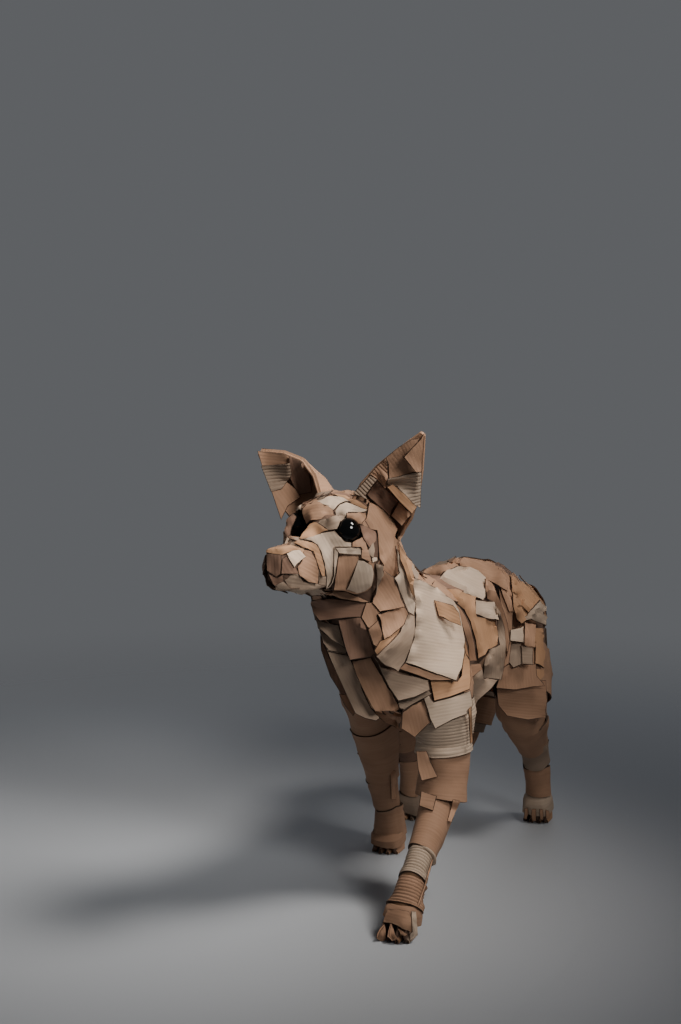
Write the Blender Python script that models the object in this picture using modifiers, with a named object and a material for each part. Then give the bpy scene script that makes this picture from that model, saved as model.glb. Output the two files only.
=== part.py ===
# A standing fox built of glued cardboard sheets, with two domed black glass eyes.
# Metres, +Z up, the nose towards -Y and the fox's left side towards +X.
import math

import bmesh
import bpy
from mathutils import Matrix, Vector
from mathutils.bvhtree import BVHTree

COLLECTION = "fox_sculpture"
CUTTERS = "cutters"

# Driving sizes, in metres.
HEIGHT = 0.460
BOARD = 0.0022
GLUE_GAP = 0.0005
EYE_RADIUS = 0.0115
EYE_CLEARANCE = 0.0005
EAR_CLEARANCE = 0.0008

# An ear is a board and a half thick, and a piece is lifted off its neighbours in small steps.
EAR_BOARD = BOARD * 1.45
LIFT_STEP = BOARD / 9

# The form is drawn in units of which the ear tips stand about 460 high, and a unit
# follows the height. STAND brings the middle of the drawn form over the origin.
DRAWN_HEIGHT = 460.0
UNIT = HEIGHT / DRAWN_HEIGHT
STAND = Vector((5, 37, 0))

# The point the photograph was taken from, in drawn units, and its lens in photograph pixels.
SIGHT_POINT = Vector((497.3, -1497.8, 500))
SIGHT_TURN = math.radians(22)
SIGHT_FALL = math.atan(123 / 1500)
SIGHT_LENS = 1500
SIGHT_MIDDLE = (340.5, 512)

# Mesh fineness, in drawn units and counts.
RING_SIDES = 20
FORM_VOXEL = 4.0
FORM_FACES = 2000
CUFF_SIDES = 12
SHEET_CELL = 15.0
SMALL_CELL = 10.0
STEEPEST_DROP = 7.0
SEARCH_HEIGHT = 60.0

# Colours, linear: brown kraft board, pale kraft board and the eyes' black glass.
KRAFT = (0.43, 0.26, 0.15)
PALE_KRAFT = (0.60, 0.46, 0.34)
EYE_BLACK = (0.01, 0.01, 0.011)

# Trunk and neck stations from the rump forwards: x, y, z, half width, half height.
TRUNK = [
    (0, 206, 246, 22, 22),
    (0, 194, 246, 42, 39),
    (0, 170, 248, 60, 53),
    (0, 125, 248, 67, 63),
    (0, 70, 240, 65, 68),
    (0, 10, 235, 62, 68),
    (0, -45, 237, 59, 69),
    (0, -95, 245, 60, 71),
    (-1, -135, 258, 57, 71),
    (-3, -163, 280, 51, 60),
    (-6, -186, 308, 50, 50),
    (-9, -204, 336, 43, 42),
    (-11, -218, 362, 36, 36),
]

# Legs from the body down to the sole: x, y, z, half width, half depth.
LEGS = {
    "front_left": [
        (40, -112, 250, 24, 40),
        (46, -122, 215, 28, 40),
        (50, -124, 180, 28, 35),
        (51, -122, 150, 26, 30),
        (51, -124, 122, 22, 25),
        (51, -134, 100, 17, 20),
        (50, -166, 78, 12.5, 14.5),
        (50, -204, 54, 11.5, 12.5),
        (49, -229, 32, 11.5, 12),
        (47, -233, 14, 15, 13),
        (46, -233, -8, 16, 13),
    ],
    "front_right": [
        (-40, -100, 250, 24, 40),
        (-46, -86, 215, 27, 38),
        (-51, -64, 180, 25, 32),
        (-52, -46, 150, 21, 27),
        (-52, -32, 120, 17, 21),
        (-52, -20, 87, 13, 15),
        (-52, -8, 58, 11.5, 12.5),
        (-52, 1, 32, 11, 12),
        (-52, 6, 14, 15, 13),
        (-52, 8, -8, 15, 13),
    ],
    "hind_left": [
        (38, 134, 266, 34, 44),
        (50, 136, 234, 37, 56),
        (62, 120, 200, 30, 54),
        (68, 98, 170, 25, 45),
        (68, 102, 144, 22, 34),
        (68, 126, 118, 17, 24),
        (68, 156, 92, 12, 16),
        (68, 169, 70, 10, 12),
        (68, 172, 45, 10, 11.5),
        (69, 173, 26, 10.5, 12),
        (69, 180, 11, 15, 13),
        (69, 182, -8, 15, 13),
    ],
    "hind_right": [
        (-38, 132, 268, 36, 44),
        (-50, 124, 234, 37, 54),
        (-62, 100, 200, 30, 50),
        (-68, 80, 168, 25, 38),
        (-68, 78, 142, 22, 30),
        (-68, 90, 118, 17, 23),
        (-68, 112, 92, 12, 16),
        (-69, 121, 70, 10, 12),
        (-70, 124, 45, 10, 11.5),
        (-70, 125, 26, 10.5, 12),
        (-70, 134, 11, 15, 13),
        (-70, 137, -8, 15, 13),
    ],
}

# The tail hangs down behind the hind legs and leans to the fox's right.
TAIL = [
    (0, 176, 268, 16, 18),
    (0, 202, 262, 18, 18),
    (-2, 218, 236, 20, 20),
    (-8, 226, 196, 24, 24),
    (-15, 224, 156, 25, 25),
    (-20, 216, 118, 21, 21),
    (-26, 207, 86, 14, 14),
    (-33, 200, 58, 7, 7),
]

# The toes of a paw: each is a wedge as far forward, left, up, half width and half height.
TOES_ACROSS = (-11.4, -3.8, 3.8, 11.4)
TOE = [
    (0, 10, 3.1, 14),
    (11, 9, 3.3, 13),
    (17, 6, 3.2, 10),
    (21, 3, 2.4, 6),
]

# Head stations along its own axis, backs first: forwards, left, up, half width, half height.
HEAD_CENTRE = Vector((-11, -235, 372))
HEAD_YAW = math.radians(18)
HEAD = [
    (-50, 0, -9, 20, 20),
    (-42, 0, -10, 36, 34),
    (-26, 0, -13, 45, 45),
    (0, 0, -15, 46, 50),
    (18, 0, -16, 46, 46),
    (26, 0, -18, 42, 41),
    (33, 0, -21, 35, 36),
    (41, 0, -24, 28, 31),
    (54, 0, -27, 23, 26),
    (70, 0, -28, 19.5, 22),
    (84, 0, -28, 17, 19.5),
    (94, 0, -27, 14, 17),
]

# Ears in the head's own frame. Each row runs from the inner rim over the back to the outer rim.
EARS = {
    "ear_left": [
        ((10, 17, 24), (-30, 24, 18), (-31, 41, -8)),
        ((10, 30, 44), (-24, 40, 34), (-24, 61, 12)),
        ((8, 46, 60), (-14, 58, 50), (-16, 75, 34)),
        ((7, 66, 74), (-5, 74, 68), (-8, 85, 57)),
        ((3, 92, 91), (2, 93, 90.5), (1, 94, 89)),
    ],
    "ear_right": [
        ((10, -17, 24), (-28, -24, 18), (-26, -46, -8)),
        ((6, -30, 48), (-22, -42, 34), (-2, -62, 4)),
        ((4, -46, 62), (-10, -58, 47), (8, -74, 24)),
        ((6, -66, 68), (2, -74, 60), (11, -82, 44)),
        ((12, -91, 69.5), (12, -92, 69), (13, -93, 68)),
    ],
}

# Eyes in the head's own frame.
EYES = {
    "eye_left": (29, 30.5, 3.5),
    "eye_right": (27, -29, 5.5),
}


def head_frame():
    """The head's forward, left and up axes."""
    turn = Matrix.Rotation(-HEAD_YAW, 3, "Z")
    return turn @ Vector((0, -1, 0)), turn @ Vector((1, 0, 0)), Vector((0, 0, 1))


def head_way(forwards, left, up):
    ahead, side, above = head_frame()
    return ahead * forwards + side * left + above * up


def head_point(forwards, left, up):
    return HEAD_CENTRE + head_way(forwards, left, up)


def ring(mesh, centre, side, above, half_width, half_height, sides):
    """One elliptical section as a loop of vertices."""
    axes = Matrix((side * half_width, above * half_height, side.cross(above))).transposed()
    place = Matrix.Translation(centre) @ axes.to_4x4()
    return bmesh.ops.create_circle(mesh, segments=sides, radius=1, matrix=place)["verts"]


def loft(stations, side_hint=Vector((1, 0, 0)), sides=RING_SIDES):
    """A closed tube through elliptical stations, each square to the path."""
    mesh = bmesh.new()
    centres = [Vector(station[:3]) for station in stations]
    loops = []
    for i, station in enumerate(stations):
        ahead = centres[min(i + 1, len(centres) - 1)] - centres[max(i - 1, 0)]
        ahead.normalize()
        side = (side_hint - ahead * side_hint.dot(ahead)).normalized()
        loops.append(ring(mesh, centres[i], side, side.cross(ahead), *station[3:], sides))
    for near, far in zip(loops, loops[1:]):
        edges = [e for e in mesh.edges if set(e.verts) <= set(near) or set(e.verts) <= set(far)]
        bmesh.ops.bridge_loops(mesh, edges=edges)
    bmesh.ops.holes_fill(mesh, edges=mesh.edges, sides=sides)
    bmesh.ops.recalc_face_normals(mesh, faces=mesh.faces)
    return mesh


def paint(thing, colour, roughness):
    """Each piece has a material of its own."""
    shade = bpy.data.materials.new(thing.name)
    shade.use_nodes = True
    shader = shade.node_tree.nodes["Principled BSDF"]
    shader.inputs["Base Color"].default_value = (*colour, 1)
    shader.inputs["Roughness"].default_value = roughness
    shader.inputs["Metallic"].default_value = 0
    shade.diffuse_color = (*colour, 1)
    thing.data.materials.clear()
    thing.data.materials.append(shade)


def link(mesh, name, home, colour=KRAFT, roughness=0.85):
    """A bmesh in drawn units becomes an object in metres, standing over the origin."""
    mesh.transform(Matrix.Scale(UNIT, 4) @ Matrix.Translation(STAND))
    data = bpy.data.meshes.new(name)
    mesh.to_mesh(data)
    mesh.free()
    made = bpy.data.objects.new(name, data)
    home.objects.link(made)
    paint(made, colour, roughness)
    return made


def join(pieces):
    """Several bmeshes as one, still separate shells."""
    whole = bmesh.new()
    for piece in pieces:
        data = bpy.data.meshes.new("piece")
        piece.to_mesh(data)
        whole.from_mesh(data)
        bpy.data.meshes.remove(data)
        piece.free()
    return whole


def seen(thing):
    """The object's finished shape as a bmesh in drawn units."""
    bpy.context.view_layer.update()
    graph = bpy.context.evaluated_depsgraph_get()
    data = bpy.data.meshes.new_from_object(thing.evaluated_get(graph))
    mesh = bmesh.new()
    mesh.from_mesh(data)
    bpy.data.meshes.remove(data)
    mesh.transform(Matrix.Translation(-STAND) @ Matrix.Scale(1 / UNIT, 4))
    return mesh


def tree_of(thing):
    mesh = seen(thing)
    bmesh.ops.triangulate(mesh, faces=mesh.faces)
    tree = BVHTree.FromBMesh(mesh)
    mesh.free()
    return tree


def triangle_count(thing):
    mesh = seen(thing)
    count = sum(len(face.verts) - 2 for face in mesh.faces)
    mesh.free()
    return count


def boolean(thing, kind, other):
    cut = thing.modifiers.new(kind.lower(), "BOOLEAN")
    cut.operation = kind
    cut.solver = "EXACT"
    cut.object = other


def paw_point(leg):
    """The middle of a paw, from the leg's last station."""
    return Vector(LEGS[leg][-1][:2] + (0,))


def cut_at_floor(mesh):
    """Takes off what lies under the floor and closes the cut with a flat sole."""
    geometry = mesh.verts[:] + mesh.edges[:] + mesh.faces[:]
    bmesh.ops.bisect_plane(mesh, geom=geometry, plane_co=(0, 0, 0), plane_no=(0, 0, -1), clear_outer=True)
    bmesh.ops.holes_fill(mesh, edges=mesh.edges)
    bmesh.ops.recalc_face_normals(mesh, faces=mesh.faces)


def build_toes():
    """Four wedge toes to each paw, with slits between them."""
    toes = []
    for leg in LEGS:
        middle = paw_point(leg)
        for across in TOES_ACROSS:
            shorter = 1 - 0.00045 * across * across
            stations = []
            for forwards, up, half_width, half_height in TOE:
                spot = middle + Vector((across, -forwards * shorter, up))
                stations.append((*spot, half_width, half_height))
            toe = loft(stations, sides=6)
            cut_at_floor(toe)
            toes.append(toe)
    return join(toes)


def build_body(home, cutters):
    """Trunk, neck, head, legs and tail fused to one faceted form, with toes and eye sockets."""
    lofts = [loft(TRUNK), loft(TAIL)]
    lofts += [loft(stations) for stations in LEGS.values()]
    head = []
    for forwards, left, up, half_width, half_height in HEAD:
        head.append((*head_point(forwards, left, up), half_width, half_height))
    lofts.append(loft(head, head_frame()[1]))
    body = link(join(lofts), "body", home)
    fuse = body.modifiers.new("fuse", "REMESH")
    fuse.mode = "VOXEL"
    fuse.voxel_size = FORM_VOXEL * UNIT
    ease = body.modifiers.new("ease", "SMOOTH")
    ease.factor = 0.5
    ease.iterations = 5
    facet = body.modifiers.new("facet", "DECIMATE")
    facet.ratio = FORM_FACES / triangle_count(body)
    floor = bmesh.new()
    # The block under the floor is twice as wide as the body reaches either way.
    reach = max(abs(value) for vertex in body.data.vertices for value in vertex.co) / UNIT
    bmesh.ops.create_cube(floor, size=4 * reach, matrix=Matrix.Translation((0, 0, -2 * reach)))
    boolean(body, "DIFFERENCE", link(floor, "floor", cutters))
    boolean(body, "UNION", link(build_toes(), "toes", cutters))
    for name in EYES:
        socket = link(eye_ball(name, EYE_RADIUS + EYE_CLEARANCE), "socket_" + name, cutters)
        boolean(body, "DIFFERENCE", socket)
    return body


def eye_ball(name, radius):
    mesh = bmesh.new()
    place = Matrix.Translation(head_point(*EYES[name]))
    bmesh.ops.create_uvsphere(mesh, u_segments=14, v_segments=9, radius=radius / UNIT, matrix=place)
    return mesh


def blend(points, share):
    """A point on the curve that runs through three points."""
    first, middle, last = points
    control = middle * 2 - (first + last) / 2
    return first * (1 - share) ** 2 + control * 2 * share * (1 - share) + last * share**2


def ear_point(rows, across, along):
    """A point of the ear's shell: across from the inner rim, along from the base to the tip."""
    at = along * (len(rows) - 1)
    low = min(int(at), len(rows) - 2)
    ends = [blend([head_point(*p) for p in row], across) for row in rows[low : low + 2]]
    return ends[0].lerp(ends[1], at - low)


def build_ear(name, home, body_tree):
    """A curled shell of board whose base stands just clear of the head."""
    rows = EARS[name]
    mesh = bmesh.new()
    bmesh.ops.create_grid(mesh, x_segments=5, y_segments=7, size=0.5)
    board = EAR_BOARD / UNIT
    for vertex in mesh.verts:
        across, along = vertex.co.x + 0.5, vertex.co.y + 0.5
        spot = ear_point(rows, across, along)
        if along < 0.3:
            tip = ear_point(rows, across, 0.5)
            hit, _, _, _ = body_tree.ray_cast(tip, (spot - tip).normalized())
            reach = (tip - spot).length
            if hit and (tip - hit).length - board < reach:
                spot = hit + (tip - hit).normalized() * EAR_CLEARANCE / UNIT + (tip - hit) * 0.8 * along
        vertex.co = spot
    bmesh.ops.recalc_face_normals(mesh, faces=mesh.faces)
    bmesh.ops.solidify(mesh, geom=mesh.faces, thickness=board)
    bmesh.ops.recalc_face_normals(mesh, faces=mesh.faces)
    tip_way = (ear_point(rows, 0.5, 1) - ear_point(rows, 0.5, 0)).normalized()
    lift_clear(mesh, tip_way, [body_tree])
    return link(mesh, name, home)


def touches(mesh, trees):
    copy = mesh.copy()
    bmesh.ops.triangulate(copy, faces=copy.faces)
    own = BVHTree.FromBMesh(copy)
    copy.free()
    return any(own.overlap(tree) for tree in trees)


def lift_clear(mesh, way, trees):
    """Moves a piece off what lies under it, in small steps, and then by the glue's gap."""
    while touches(mesh, trees):
        bmesh.ops.translate(mesh, vec=way * LIFT_STEP / UNIT, verts=mesh.verts)
    bmesh.ops.translate(mesh, vec=way * GLUE_GAP / UNIT, verts=mesh.verts)


# Bands wrapped round a limb: the limb, the heights it runs from and to, and its flare below.
LEG_CUFFS = {
    "front_left_upper_cuff": ("front_left", 168, 150, 0.0),
    "front_left_wide_cuff": ("front_left", 147, 108, 0.92),
    "front_left_forearm_cuff": ("front_left", 97, 72, 0.0),
    "front_left_ribbed_cuff": ("front_left", 69, 52, 0.0),
    "front_left_wrist_cuff": ("front_left", 50, 32, 0.0),
    "front_right_upper_cuff": ("front_right", 150, 122, 0.0),
    "front_right_forearm_cuff": ("front_right", 118, 90, 0.0),
    "front_right_shin_cuff": ("front_right", 87, 56, 0.0),
    "front_right_wrist_cuff": ("front_right", 53, 30, 0.0),
    "hind_left_hock_cuff": ("hind_left", 120, 98, 0.0),
    "hind_left_shank_cuff": ("hind_left", 94, 76, 0.0),
    "hind_left_ankle_cuff": ("hind_left", 72, 32, 0.0),
    "hind_right_hock_cuff": ("hind_right", 120, 98, 0.0),
    "hind_right_ankle_cuff": ("hind_right", 74, 32, 0.0),
}
TAIL_CUFFS = {
    "tail_upper_cuff": (202, 174, 0.0),
    "tail_middle_cuff": (170, 138, 0.0),
    "tail_lower_cuff": (132, 100, 0.0),
}
MUZZLE_BANDS = {
    "muzzle_front_band": (70, 63, 0.0),
    "muzzle_light_band": (60, 46, 0.0),
}


def limb_at(stations, key, value):
    """The middle and the larger half size of a limb where the key coordinate has this value."""
    for near, far in zip(stations, stations[1:]):
        if min(near[key], far[key]) <= value <= max(near[key], far[key]):
            share = (value - near[key]) / (far[key] - near[key])
            sizes = [max(station[3:]) for station in (near, far)]
            return Vector(near[:3]).lerp(Vector(far[:3]), share), sizes[0] + (sizes[1] - sizes[0]) * share
    return Vector(stations[-1][:3]), max(stations[-1][3:])


def build_cuff(name, stations, key, start, end, flare, home, trees):
    """A band of board round a limb, a little clear of it. The head's stations are in its own frame."""
    hint = Vector((1, 0, 0))
    first, first_size = limb_at(stations, key, start)
    last, last_size = limb_at(stations, key, end)
    if stations is HEAD:
        first, last, hint = head_point(*first), head_point(*last), head_frame()[1]
    ahead = (last - first).normalized()
    side = (hint - ahead * hint.dot(ahead)).normalized()
    above = side.cross(ahead)
    board = BOARD / UNIT
    rim = []
    for i in range(CUFF_SIDES):
        angle = math.tau * i / CUFF_SIDES
        way = side * math.cos(angle) + above * math.sin(angle)
        reach = []
        for centre, most in ((first, first_size * 1.15), (last, last_size * 1.15)):
            _, _, _, distance = trees[0].ray_cast(centre, way)
            reach.append(min(distance or most, most))
        reach[1] = max(reach[1], reach[0] * flare)
        rim.append((way, *reach))
    gap = 0.3
    while True:
        mesh = bmesh.new()
        loops = []
        corners = ((first, 0, gap), (last, 1, gap), (last, 1, gap + board), (first, 0, gap + board))
        for centre, which, out in corners:
            made = bmesh.ops.create_circle(mesh, segments=CUFF_SIDES, radius=1)["verts"]
            for vertex, (way, *reach) in zip(made, rim):
                vertex.co = centre + way * (reach[which] + out)
            loops.append(made)
        for near, far in zip(loops, loops[1:] + loops[:1]):
            edges = [e for e in mesh.edges if set(e.verts) <= set(near) or set(e.verts) <= set(far)]
            bmesh.ops.bridge_loops(mesh, edges=edges)
        bmesh.ops.recalc_face_normals(mesh, faces=mesh.faces)
        if not touches(mesh, trees):
            break
        mesh.free()
        gap += LIFT_STEP / UNIT
    return link(mesh, name, home, PALE_KRAFT if "ribbed" in name or "ankle" in name else KRAFT)


# Sheets glued on the form, outlined as the photograph shows them, in its pixels. A sheet
# named in MIRRORED is laid again on the other side.
SHEETS = {
    "rump_cap": [(440, 566), (455, 555), (480, 555), (500, 566), (508, 590), (488, 596), (452, 584)],
    "back_patch": [(432, 584), (455, 569), (484, 579), (486, 600), (455, 598)],
    "flank_sheet": [(457, 603), (476, 600), (495, 618), (500, 645), (482, 660), (468, 655)],
    "flank_square": [(475, 599), (494, 602), (497, 622), (476, 616)],
    "flank_strip": [(489, 622), (500, 611), (505, 640), (502, 680), (481, 677)],
    "belly_sheet": [(470, 664), (484, 660), (494, 682), (474, 700), (466, 690)],
    "hip_strip": [(508, 574), (517, 574), (537, 600), (527, 611), (509, 592)],
    "hip_corner": [(537, 600), (547, 612), (547, 626), (529, 620), (524, 612)],
    "haunch_strip": [(535, 625), (548, 627), (549, 667), (535, 665)],
    "haunch_lower_strip": [(534, 667), (549, 670), (547, 684), (535, 677)],
    "haunch_square": [(510, 630), (523, 628), (523, 643), (510, 641)],
    "haunch_light": [(521, 646), (533, 648), (532, 665), (521, 664)],
    "chest_right_sheet": [(382, 671), (428, 680), (430, 690), (402, 708), (397, 700)],
    "chest_strip": [(351, 660), (371, 658), (399, 708), (374, 710)],
    "chest_left_strip": [(328, 651), (348, 655), (378, 718), (347, 696)],
    "breast_tongue": [(402, 711), (425, 698), (431, 722), (415, 738), (401, 728)],
    "upper_chest_sheet": [(341, 619), (362, 616), (372, 648), (370, 658), (350, 659)],
    "throat_sheet": [(322, 602), (369, 604), (366, 622), (358, 614), (322, 616)],
    "shoulder_lower_band": [(428, 682), (456, 682), (464, 658), (472, 666), (469, 691), (433, 701)],
    "shoulder_light_band": [(424, 697), (434, 702), (469, 692), (472, 708), (435, 729)],
    "shoulder_front_sheet": [(390, 634), (409, 614), (417, 618), (408, 662), (398, 672), (375, 656)],
    "shoulder_sheet": [
        (412, 580), (434, 588), (453, 602), (463, 627), (464, 650), (456, 681), (405, 662),
        (414, 636),
    ],
    "shoulder_patch": [(434, 600), (454, 607), (461, 626), (437, 616)],
    "cheek_plate": [(336, 552), (372, 556), (377, 568), (370, 602), (332, 592)],
    "light_cheek": [(358, 559), (375, 564), (377, 582), (370, 603), (346, 590)],
    "forehead_sheet": [(314, 496), (328, 492), (349, 502), (334, 513)],
    "left_brow": [(336, 514), (346, 506), (367, 511), (362, 522), (345, 521)],
    "temple_sheet": [(369, 503), (392, 524), (394, 540), (388, 562), (379, 562), (377, 531)],
    "nose_sheet": [(287, 553), (297, 550), (305, 556), (294, 568)],
}
MIRRORED = (
    "back_patch",
    "flank_sheet",
    "flank_strip",
    "hip_strip",
    "haunch_strip",
    "shoulder_sheet",
    "shoulder_patch",
)
PALE_SHEETS = (
    "back_patch",
    "flank_square",
    "flank_strip",
    "hip_corner",
    "haunch_square",
    "shoulder_sheet",
    "shoulder_light_band",
    "light_cheek",
    "forehead_sheet",
    "nose_sheet",
)
SMALL_PLACES = ("cheek", "brow", "forehead", "nose", "temple", "throat")


def sight(x, y, flip):
    """The line of sight through a photograph pixel, or its mirror image on the other side."""
    right = Vector((math.cos(SIGHT_TURN), math.sin(SIGHT_TURN), 0))
    level = Vector((-math.sin(SIGHT_TURN), math.cos(SIGHT_TURN), 0))
    ahead = level * math.cos(SIGHT_FALL) - Vector((0, 0, math.sin(SIGHT_FALL)))
    above = right.cross(ahead)
    way = ahead * SIGHT_LENS + right * (x - SIGHT_MIDDLE[0]) - above * (y - SIGHT_MIDDLE[1])
    start = SIGHT_POINT.copy()
    if flip:
        start.x, way.x = -start.x, -way.x
    return start, way.normalized()


def first_hit(trees, start, way, reach=4000):
    """The nearest hit of a ray among several trees, with its normal."""
    best = None
    for tree in trees:
        spot, normal, _, distance = tree.ray_cast(start, way, reach)
        if spot and (best is None or distance < best[2]):
            best = (spot, normal, distance)
    return best


def flat_outline(outline, flip, trees):
    """The outline carried to the plane that best fits the form where the sheet lies."""
    middle = [sum(p[i] for p in outline) / len(outline) for i in (0, 1)]
    hits = []
    for x, y in outline:
        for share in (0.55, 0.9):
            aim = (middle[0] + (x - middle[0]) * share, middle[1] + (y - middle[1]) * share)
            hit = first_hit(trees, *sight(*aim, flip))
            if hit:
                hits.append(hit)
    centre = sum((hit[0] for hit in hits), Vector()) / len(hits)
    normal = sum((hit[1] for hit in hits), Vector()).normalized()
    corners = []
    for x, y in outline:
        start, way = sight(x, y, flip)
        corners.append(start + way * ((centre - start).dot(normal) / way.dot(normal)))
    return corners, centre, normal


def build_sheet(name, outline, flip, home, trees):
    """A sheet of board laid over whatever is already there, bent as little as it can be."""
    corners, centre, normal = flat_outline(outline, flip, trees)
    cell = SMALL_CELL if any(word in name for word in SMALL_PLACES) else SHEET_CELL
    run = (corners[1] - corners[0]).normalized()
    rise = normal.cross(run)
    size = max((corner - centre).length for corner in corners)
    count = max(2, round(2 * size / cell))
    place = Matrix((run, rise, normal)).transposed().to_4x4()
    place = Matrix.Translation(centre) @ place
    mesh = bmesh.new()
    bmesh.ops.create_grid(mesh, x_segments=count, y_segments=count, size=size, matrix=place)
    for near, far in zip(corners, corners[1:] + corners[:1]):
        outward = (far - near).cross(normal)
        if outward.dot(centre - near) > 0:
            outward = -outward
        geometry = mesh.verts[:] + mesh.edges[:] + mesh.faces[:]
        bmesh.ops.bisect_plane(
            mesh, geom=geometry, plane_co=near, plane_no=outward, clear_outer=True, dist=0.5
        )
    bmesh.ops.remove_doubles(mesh, verts=mesh.verts, dist=1.2)
    heights = {}
    for vertex in mesh.verts:
        start = vertex.co + normal * SEARCH_HEIGHT
        hit = first_hit(trees, start, -normal, SEARCH_HEIGHT + STEEPEST_DROP)
        heights[vertex] = (hit[0] - vertex.co).dot(normal) if hit else -STEEPEST_DROP
    floor = dict(heights)
    for _ in range(3):
        for vertex in mesh.verts:
            near = [heights[edge.other_vert(vertex)] for edge in vertex.link_edges]
            heights[vertex] = max(floor[vertex], sum(near) / len(near))
    for vertex in mesh.verts:
        vertex.co += normal * heights[vertex]
    bmesh.ops.triangulate(mesh, faces=mesh.faces)
    outer = bmesh.ops.extrude_face_region(mesh, geom=mesh.faces[:])["geom"]
    raised = [item for item in outer if isinstance(item, bmesh.types.BMVert)]
    bmesh.ops.translate(mesh, vec=normal * BOARD / UNIT, verts=raised)
    bmesh.ops.recalc_face_normals(mesh, faces=mesh.faces)
    lift_clear(mesh, normal, trees)
    return link(mesh, name, home, PALE_KRAFT if name in PALE_SHEETS else KRAFT)


def main():
    for thing in list(bpy.data.objects):
        bpy.data.objects.remove(thing)
    home = bpy.data.collections.new(COLLECTION)
    cutters = bpy.data.collections.new(CUTTERS)
    bpy.context.scene.collection.children.link(home)
    bpy.context.scene.collection.children.link(cutters)
    body = build_body(home, cutters)
    for cutter in cutters.objects:
        cutter.hide_render = True
        cutter.display_type = "WIRE"
    trees = [tree_of(body)]
    for name in EYES:
        eye = link(eye_ball(name, EYE_RADIUS), name, home, EYE_BLACK, 0.05)
        for face in eye.data.polygons:
            face.use_smooth = True
        trees.append(tree_of(eye))
    for name in EARS:
        trees.append(tree_of(build_ear(name, home, trees[0])))
    for name, (leg, *run) in LEG_CUFFS.items():
        trees.append(tree_of(build_cuff(name, LEGS[leg], 2, *run, home, trees)))
    for name, run in TAIL_CUFFS.items():
        trees.append(tree_of(build_cuff(name, TAIL, 2, *run, home, trees)))
    for name, run in MUZZLE_BANDS.items():
        trees.append(tree_of(build_cuff(name, HEAD, 0, *run, home, trees)))
    for name, outline in SHEETS.items():
        for flip in (False, True):
            if flip and name not in MIRRORED:
                continue
            sheet = build_sheet(name + "_right" * flip, outline, flip, home, trees)
            trees.append(tree_of(sheet))


main()
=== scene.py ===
import itertools
import math
import random

import bmesh
import bpy
from mathutils import Matrix, Vector, geometry, noise
from mathutils.bvhtree import BVHTree


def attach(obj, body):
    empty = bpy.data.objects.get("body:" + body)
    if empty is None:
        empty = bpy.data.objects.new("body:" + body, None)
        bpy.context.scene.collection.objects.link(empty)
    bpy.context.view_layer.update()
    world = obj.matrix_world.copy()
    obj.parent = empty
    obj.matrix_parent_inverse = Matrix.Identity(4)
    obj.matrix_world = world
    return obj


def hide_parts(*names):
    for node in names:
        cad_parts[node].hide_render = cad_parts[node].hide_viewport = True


# A standing fox built of glued cardboard sheets. Shapes are drawn in millimetres about the
# trunk's middle plane, nose towards -Y, and are moved over the origin when they are finished.
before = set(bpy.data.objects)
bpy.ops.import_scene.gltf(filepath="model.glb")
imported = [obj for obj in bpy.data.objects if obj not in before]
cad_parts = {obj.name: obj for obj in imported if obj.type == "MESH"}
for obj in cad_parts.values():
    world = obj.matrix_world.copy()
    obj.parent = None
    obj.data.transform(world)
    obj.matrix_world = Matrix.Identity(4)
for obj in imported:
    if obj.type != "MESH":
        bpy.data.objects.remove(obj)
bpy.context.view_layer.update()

stand = Vector((5, 37, 0))
perMetre = 1000
chance = random.Random(11)


def toMetres(mesh):
    mesh.transform(Matrix.Scale(1 / perMetre, 4) @ Matrix.Translation(stand))


def toMillimetres(mesh):
    mesh.transform(Matrix.Translation(-stand) @ Matrix.Scale(perMetre, 4))


# Colours and nodes

def hexColour(code):
    shares = [int(code[i : i + 2], 16) / 255 for i in (1, 3, 5)]
    return [c / 12.92 if c <= 0.04045 else ((c + 0.055) / 1.055) ** 2.4 for c in shares] + [1]


def addNode(tree, kind, settings=None, links=None):
    # A number as a key is a socket's place, and a name is a setting or else a socket.
    node = tree.nodes.new(kind)
    for key, value in (settings or {}).items():
        if isinstance(key, str) and hasattr(node, key):
            setattr(node, key, value)
        else:
            node.inputs[key].default_value = value
    for key, source in (links or {}).items():
        tree.links.new(source, node.inputs[key])
    return node


def newMaterial(name, colour, roughness):
    material = bpy.data.materials.new(name)
    material.use_nodes = True
    shader = material.node_tree.nodes["Principled BSDF"]
    shader.inputs["Base Color"].default_value = hexColour(colour)
    shader.inputs["Roughness"].default_value = roughness
    return material, material.node_tree, shader


boardLook = {
    "kraft": ("#B88F72", "#9F795D"),
    "pale": ("#CFB7A0", "#B69E87"),
    "grey": ("#AB937E", "#917A66"),
    "orange": ("#BF936F", "#A77C59"),
    "dark": ("#96745F", "#7E5F4D"),
    # Cut edges: partly their own darker colour, partly painted shade for the shadow lines in the seams
    # between boards
    "edge": ("#55402F", "#38281D"),
}


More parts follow.
